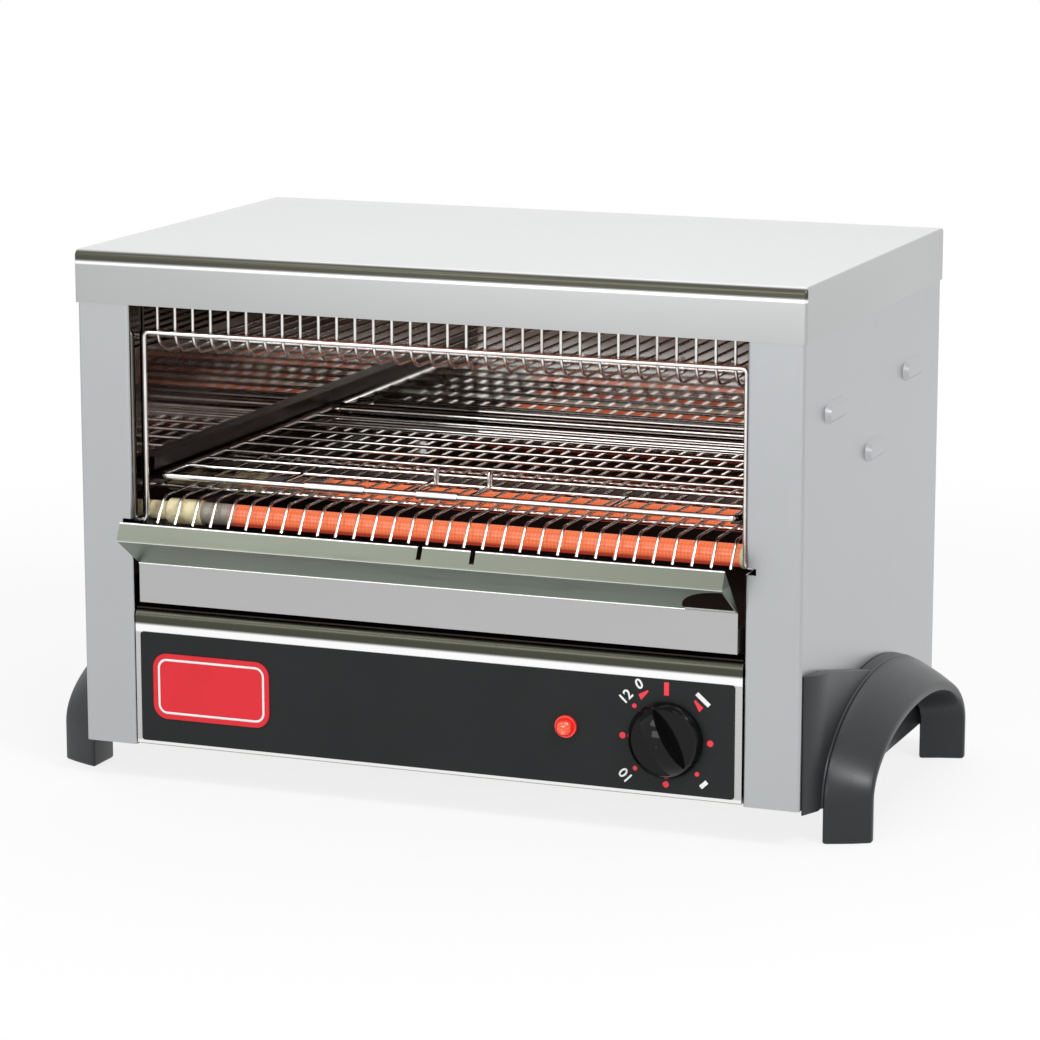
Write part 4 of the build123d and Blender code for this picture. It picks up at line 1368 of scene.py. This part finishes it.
@dataclass
class ControlBox:
    """Fascia, label, plate, lamp and timer knob with the marks round it."""

    knob: Pair = (145.7, 35.2)
    plate: Pair = (-141.0, 38.0)
    line: Pair = (34.25, 16.25)
    line_radius: float = 0.75
    line_bend: float = 5.25
    line_flat: float = 0.27
    line_face: float = -1.1
    face: float = -0.5
    film: float = 0.25
    marks_radius: float = 26.4
    dots: Tuple[float, ...] = (90.0, 135.0, 180.0, 225.0, 270.0, 313.0)
    dot_radii: Pair = (1.4, 1.9)
    numerals: Tuple[Tuple[str, float, float], ...] = (
        ("12", -47.0, 33.5), ("0", -28.0, 35.0), ("10", 226.0, 33.5))
    numeral_size: float = 8.5
    numeral_weight: float = 0.15
    wedges: Tuple[float, ...] = (-28.0, 41.0)
    wedge_half: float = 3.2
    wedge_top: float = 30.0
    wedge_taper: float = 0.3
    pointer: Tuple[float, float, float, float] = (0.0, 29.6, 1.5, 3.9)
    dashes: Tuple[Pair, ...] = ((41.0, 5.0), (137.0, 2.6))
    dash_radius: float = 33.4
    dash_tall: float = 1.3
    edge: float = 0.1

    def build(self) -> None:
        """Dress and build the control box."""
        finish_nodes(FASCIA_SHEET, "control_fascia")
        finish_nodes(LABEL_FILM, "control_label")
        finish_nodes(RED_PLATE, "badge_plate")
        finish_nodes(LENS, "pilot_lamp_lens")
        finish_nodes(KNOB_PLASTIC, "timer_knob")
        self.plate_line()
        red = [self.bar(*self.pointer)]
        red += [self.dot(degrees) for degrees in self.dots]
        red += [self.wedge(degrees) for degrees in self.wedges]
        self.marks("dial_red_marks", red, RED_INK)
        white = [self.numeral(*row) for row in self.numerals]
        white += [self.bar(degrees, self.dash_radius, half, self.dash_tall) for degrees, half in self.dashes]
        self.marks("dial_white_marks", white, WHITE_INK)

    @staticmethod
    def marks(name: str, pieces: Sequence[Piece], ink: Finish) -> None:
        """Join and seat the marks of one colour."""
        seat(Bench.join(pieces, name), ink, Body.SHELL)

    def plate_line(self) -> None:
        """Pale line in the plate's groove."""
        (x, z), (w, h) = self.plate, self.line
        corners = [(x, z + h), (x + w, z + h), (x + w, z - h), (x - w, z - h), (x - w, z + h), (x, z + h)]
        points = [at(px, 0.0, pz) for px, pz in corners]
        radius, bend = self.line_radius * MM, self.line_bend * MM
        ring = Bench.wire("plate_line", points, radius, bend, 8, 8, closed=False)
        Bench.tidy(ring, SEAM)
        ring.scale.y = self.line_flat
        ring.location.y = (FRONT_Y * (1.0 - self.line_flat) + self.line_face) * MM
        Bench.settle(ring)
        Bench.smooth(ring, 60.0)
        seat(ring, WHITE_INK, Body.SHELL)

    def about(self, piece: Piece, degrees: float) -> Piece:
        """Turn a mark drawn at the origin to its hour and move it onto the label.

        Args:
            piece: The mark.
            degrees: Clockwise from the top.

        Returns:
            The mark.
        """
        piece.rotation_euler.y = math.radians(degrees)
        piece.location = at(self.knob[0], self.face, self.knob[1])
        Bench.settle(piece)
        return piece

    def bar(self, degrees: float, radius: float, half: float, tall: float) -> Piece:
        """Draw a straight mark across the radius.

        Args:
            degrees: Clockwise from the top.
            radius: Distance of its middle from the knob's axis.
            half: Half its length along the circle.
            tall: Half its size along the radius.

        Returns:
            The mark.
        """
        low = Vector((-half, -self.film, radius - tall)) * MM
        high = Vector((half, 0.0, radius + tall)) * MM
        piece = Bench.block("bar", low, high)
        Bench.modify(piece, "BEVEL", width=self.edge * MM, segments=1)
        return self.about(piece, degrees)

    def wedge(self, degrees: float) -> Piece:
        """Draw a mark that grows thicker towards one side.

        Args:
            degrees: Clockwise from the top; the sign says which side is thick.

        Returns:
            The mark.
        """
        low = Vector((-self.wedge_half, -self.film, self.marks_radius)) * MM
        high = Vector((self.wedge_half, 0.0, self.wedge_top)) * MM
        piece = Bench.block("wedge", low, high)
        side = -1.0 if degrees < 0 else 1.0
        top = Vector((0.0, 0.0, high.z))
        with editing(piece):
            Bench.select(piece, lambda v: v.x * side < 0)
            bpy.ops.transform.resize(value=(1.0, 1.0, self.wedge_taper), center_override=top)
        return self.about(piece, degrees)

    def dot(self, degrees: float) -> Piece:
        """Draw a round mark, larger at the quarters.

        Args:
            degrees: Clockwise from the top.

        Returns:
            The mark.
        """
        small, large = self.dot_radii
        radius = (large if degrees % 90 == 0 else small) * MM
        profile = [(0.0, radius), (self.film * 0.7 * MM, radius), (self.film * MM, radius * 0.92)]
        middle = Vector((0.0, 0.0, self.marks_radius * MM))
        return self.about(Bench.turned("dot", profile, middle, OUT, 24), degrees)

    def numeral(self, words: str, degrees: float, radius: float) -> Piece:
        """Draw a number, its foot towards the knob.

        Args:
            words: The digits.
            degrees: Clockwise from the top.
            radius: Distance of its middle from the knob's axis.

        Returns:
            The number as a mesh.
        """
        Bench.clear()
        bpy.ops.object.text_add(location=ORIGIN)
        text = bpy.context.active_object
        text.data.body = words
        text.data.size = self.numeral_size * MM
        text.data.align_x, text.data.align_y = "CENTER", "CENTER"
        text.data.extrude = self.film / 2 * MM
        text.data.offset = self.numeral_weight * MM
        text.data.resolution_u = 4
        bpy.ops.object.convert(target="MESH")
        piece = bpy.context.active_object
        piece.rotation_euler.x = math.pi / 2
        piece.location = Vector((0.0, -self.film / 2, radius)) * MM
        Bench.settle(piece)
        Bench.tidy(piece)
        return self.about(piece, degrees)


@dataclass
class Feet:
    """Moulded arched feet: a plate on the panel, a flaring arch and two legs."""

    middle: float = 137.0
    stations: Tuple[Triple, ...] = (
        (232.0, 115.0, 56.5), (236.0, 113.6, 55.0), (240.0, 112.0, 53.1), (245.0, 109.8, 50.2),
        (249.0, 108.0, 47.8), (254.0, 105.2, 44.2), (257.99, 103.0, 41.0), (257.99, 98.0, 36.0),
        (245.0, 94.0, 32.5), (232.0, 89.0, 28.0), (232.0, 115.0, 56.5))
    root: Tuple[Triple, ...] = (
        (225.2, 116.0, 57.5), (232.5, 115.0, 56.5), (232.5, 92.0, 31.0), (225.2, 92.0, 31.0),
        (225.2, 116.0, 57.5))
    sides: int = 96
    foot: float = -24.0
    low: float = -3.0
    band_edge: float = 1.6
    root_edge: float = 0.8
    plate_edge: float = 1.1
    plate: Pair = (225.0, 231.4)
    outline: Tuple[Pair, ...] = (
        (4.0, 78.0), (40.0, 74.0), (73.0, 67.0), (112.0, 58.0), (149.0, 50.0), (200.0, 36.0), (247.0, 10.0))
    thin: Pair = (226.0, 4.0)
    thin_way: Pair = (14.0, -6.0)

    def build(self) -> None:
        """Build the right foot and mirror it."""
        band = self.arch("band", self.stations, self.foot, self.band_edge)
        root = self.arch("root", self.root, self.low, self.root_edge)
        right = Bench.join([band, root, self.side_plate()], "right_foot_shell")
        Bench.smooth(right, 40.0)
        left = Bench.mirrored(right, "left_foot_shell")
        Bench.smooth(left, 40.0)
        for piece, node in ((right, "right_foot"), (left, "left_foot")):
            seat(piece, FOOT_PLASTIC, Body.SHELL, [node])

    def arch(self, name: str, stations: Sequence[Triple], low: float, edge: float) -> Piece:
        """Draw half an elliptical ring with straight legs, arc by arc.

        Args:
            name: Its name.
            stations: (x, half width, height) of each arc, the last the same as the first.
            low: Height at which the legs end.
            edge: Rounding of its edges.

        Returns:
            The arch.
        """
        x, wide, tall = stations[0]
        piece = Bench.ring(name, 1.0, ORIGIN, RIGHT, self.sides)
        piece.scale = (1.0, wide * MM, tall * MM)
        piece.location = at(x, self.middle, 0.0)
        Bench.settle(piece)
        base = at(0.0, 0.0, 0.0).z
        with editing(piece):
            Bench.select(piece, lambda v: v.z < base - TINY)
            bpy.ops.mesh.delete(type="VERT")
            bpy.ops.mesh.select_all(action="SELECT")
            for (x0, w0, t0), (x1, w1, t1) in zip(stations, stations[1:]):
                Bench.draw(RIGHT * ((x1 - x0) * MM))
                centre = at(x1, self.middle, 0.0)
                bpy.ops.transform.resize(value=(1.0, w1 / w0, t1 / t0), center_override=centre)
            bpy.ops.mesh.select_all(action="SELECT")
            bpy.ops.mesh.remove_doubles(threshold=SEAM)
            Bench.select(piece, lambda v: abs(v.z - base) < TINY, "EDGE")
            Bench.draw(Vector((0.0, 0.0, low * MM)))
            Bench.fill()
        Bench.tidy(piece)
        Bench.soften(piece, edge, 4, 32.0)
        return piece

    def side_plate(self) -> Piece:
        """Cut the plate on the side panel, first its top line, then its thinned front edge.

        Returns:
            The plate.
        """
        (x0, x1), (y0, z0), (y1, _) = self.plate, self.outline[0], self.outline[-1]
        piece = Bench.block("plate", at(x0, y0, self.low), at(x1, y1, z0))
        for (ya, za), (yb, zb) in zip(self.outline, self.outline[1:]):
            Bench.slice(piece, at(x0, ya, za), Vector((0.0, za - zb, yb - ya)))
        Bench.slice(piece, at(*self.thin, 0.0), Vector((*self.thin_way, 0.0)))
        Bench.soften(piece, self.plate_edge, 3, 25.0)
        return piece


@dataclass(frozen=True)
class Lamp:
    """A soft lamp: its middle, its width and height, and its power in watts."""

    name: str
    place: Triple
    size: Pair
    power: float


@dataclass
class Studio:
    """Plain floor, soft light and the camera."""

    lamps: Tuple[Lamp, ...] = (
        Lamp("key", (-1.5, -2.0, 2.3), (1.0, 1.0), 12.0),
        Lamp("front", (-0.4, -3.1, 1.0), (2.6, 0.9), 28.0),
        Lamp("top", (-0.35, 1.1, 2.2), (2.0, 2.0), 14.0),
        Lamp("fill", (2.0, -1.3, 2.0), (0.5, 0.5), 32.0),
        Lamp("glint", (0.75, -1.2, 2.1), (0.45, 0.45), 9.0))
    azimuth: float = 21.3367
    elevation: float = 11.4651
    distance: float = 2.35970
    lens: float = 134.935
    target: Triple = (0.0092428, -0.0085, 0.1538772)
    near: float = 0.55
    far: float = 1.1
    share: float = 0.8
    around: float = 0.4
    floor_size: float = 12.0
    sensor: float = 36.0
    aim: Triple = (0.0, 0.0, 0.15)

    def build(self) -> None:
        """Set up the view, the floor, the world and the lamps."""
        scene = bpy.context.scene
        scene.view_settings.view_transform = "Standard"
        self.floor()
        self.world()
        for lamp in self.lamps:
            self.light(lamp)
        self.camera()

    def camera(self) -> None:
        """Camera on its line of sight to the target."""
        turn, rise = math.radians(self.azimuth), math.radians(self.elevation)
        back = Vector((math.sin(turn) * math.cos(rise), -math.cos(turn) * math.cos(rise), math.sin(rise)))
        data = bpy.data.cameras.new("camera")
        data.lens, data.sensor_width = self.lens, self.sensor
        camera = bpy.data.objects.new("camera", data)
        bpy.context.scene.collection.objects.link(camera)
        camera.location = Vector(self.target) + back * self.distance
        camera.rotation_euler = (-back).to_track_quat("-Z", "Y").to_euler()
        bpy.context.scene.camera = camera

    def floor(self) -> None:
        """White floor that keeps the shadow."""
        Bench.clear()
        bpy.ops.mesh.primitive_plane_add(size=self.floor_size, location=ORIGIN)
        floor = Bench.added("floor")
        material = bpy.data.materials.new("floor_white")
        tree = Tree(material)
        seen = self.seen(tree)
        far = tree.reach(Axis.X, Axis.Y, (0.0, 0.0)).ramp(self.near, self.far, self.share, 1.0)
        matt = tree.node("ShaderNodeBsdfPrincipled", values={"Base Color": (0.9, 0.9, 0.9), "Roughness": 0.9})
        white = tree.node("ShaderNodeEmission", values={"Color": (1.0, 1.0, 1.0), "Strength": 1.0})
        shaders = {0: seen * far, 1: matt.outputs[0], 2: white.outputs[0]}
        tree.show(tree.node("ShaderNodeMixShader", values=shaders))
        floor.data.materials.append(material)

    @staticmethod
    def seen(tree: Tree) -> Signal:
        """Tell the rays that see a surface from those that only light by it.

        Args:
            tree: The tree to add the nodes to.

        Returns:
            1 for rays from the camera, or by way of metal or glass.
        """
        path = tree.node("ShaderNodeLightPath")
        kinds = ("Is Camera Ray", "Is Glossy Ray", "Is Transmission Ray")
        rays = [Signal(tree, path.outputs[kind]) for kind in kinds]
        either = rays[0].maths("MAXIMUM", rays[0], rays[1])
        return either.maths("MAXIMUM", either, rays[2])

    def world(self) -> None:
        """White surroundings, dimmer where they only light the object."""
        world = bpy.data.worlds.new("studio")
        bpy.context.scene.world = world
        tree = Tree(world, "ShaderNodeOutputWorld")
        level = self.seen(tree) * (1.0 - self.around) + self.around
        white = {"Color": (1.0, 1.0, 1.0), "Strength": level}
        tree.show(tree.node("ShaderNodeBackground", values=white))

    def light(self, lamp: Lamp) -> None:
        """Hang a lamp and aim it at the object.

        Args:
            lamp: The lamp.
        """
        data = bpy.data.lights.new(lamp.name, "AREA")
        data.shape, data.energy = "RECTANGLE", lamp.power
        data.size, data.size_y = lamp.size
        hung = bpy.data.objects.new(lamp.name, data)
        bpy.context.scene.collection.objects.link(hung)
        hung.location = lamp.place
        hung.rotation_euler = (Vector(self.aim) - hung.location).to_track_quat("-Z", "Y").to_euler()


def main() -> None:
    """Build every sub-assembly in order."""
    logging.basicConfig(level=logging.INFO, format="%(message)s")
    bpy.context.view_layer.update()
    for part in (Shell(), Chamber(), WireGuards(), ToastRack(), CrumbTray(), ControlBox(), Feet()):
        LOG.info("-- %s", type(part).__name__)
        part.build()
    Studio().build()


if __name__ == "__main__":
    main()
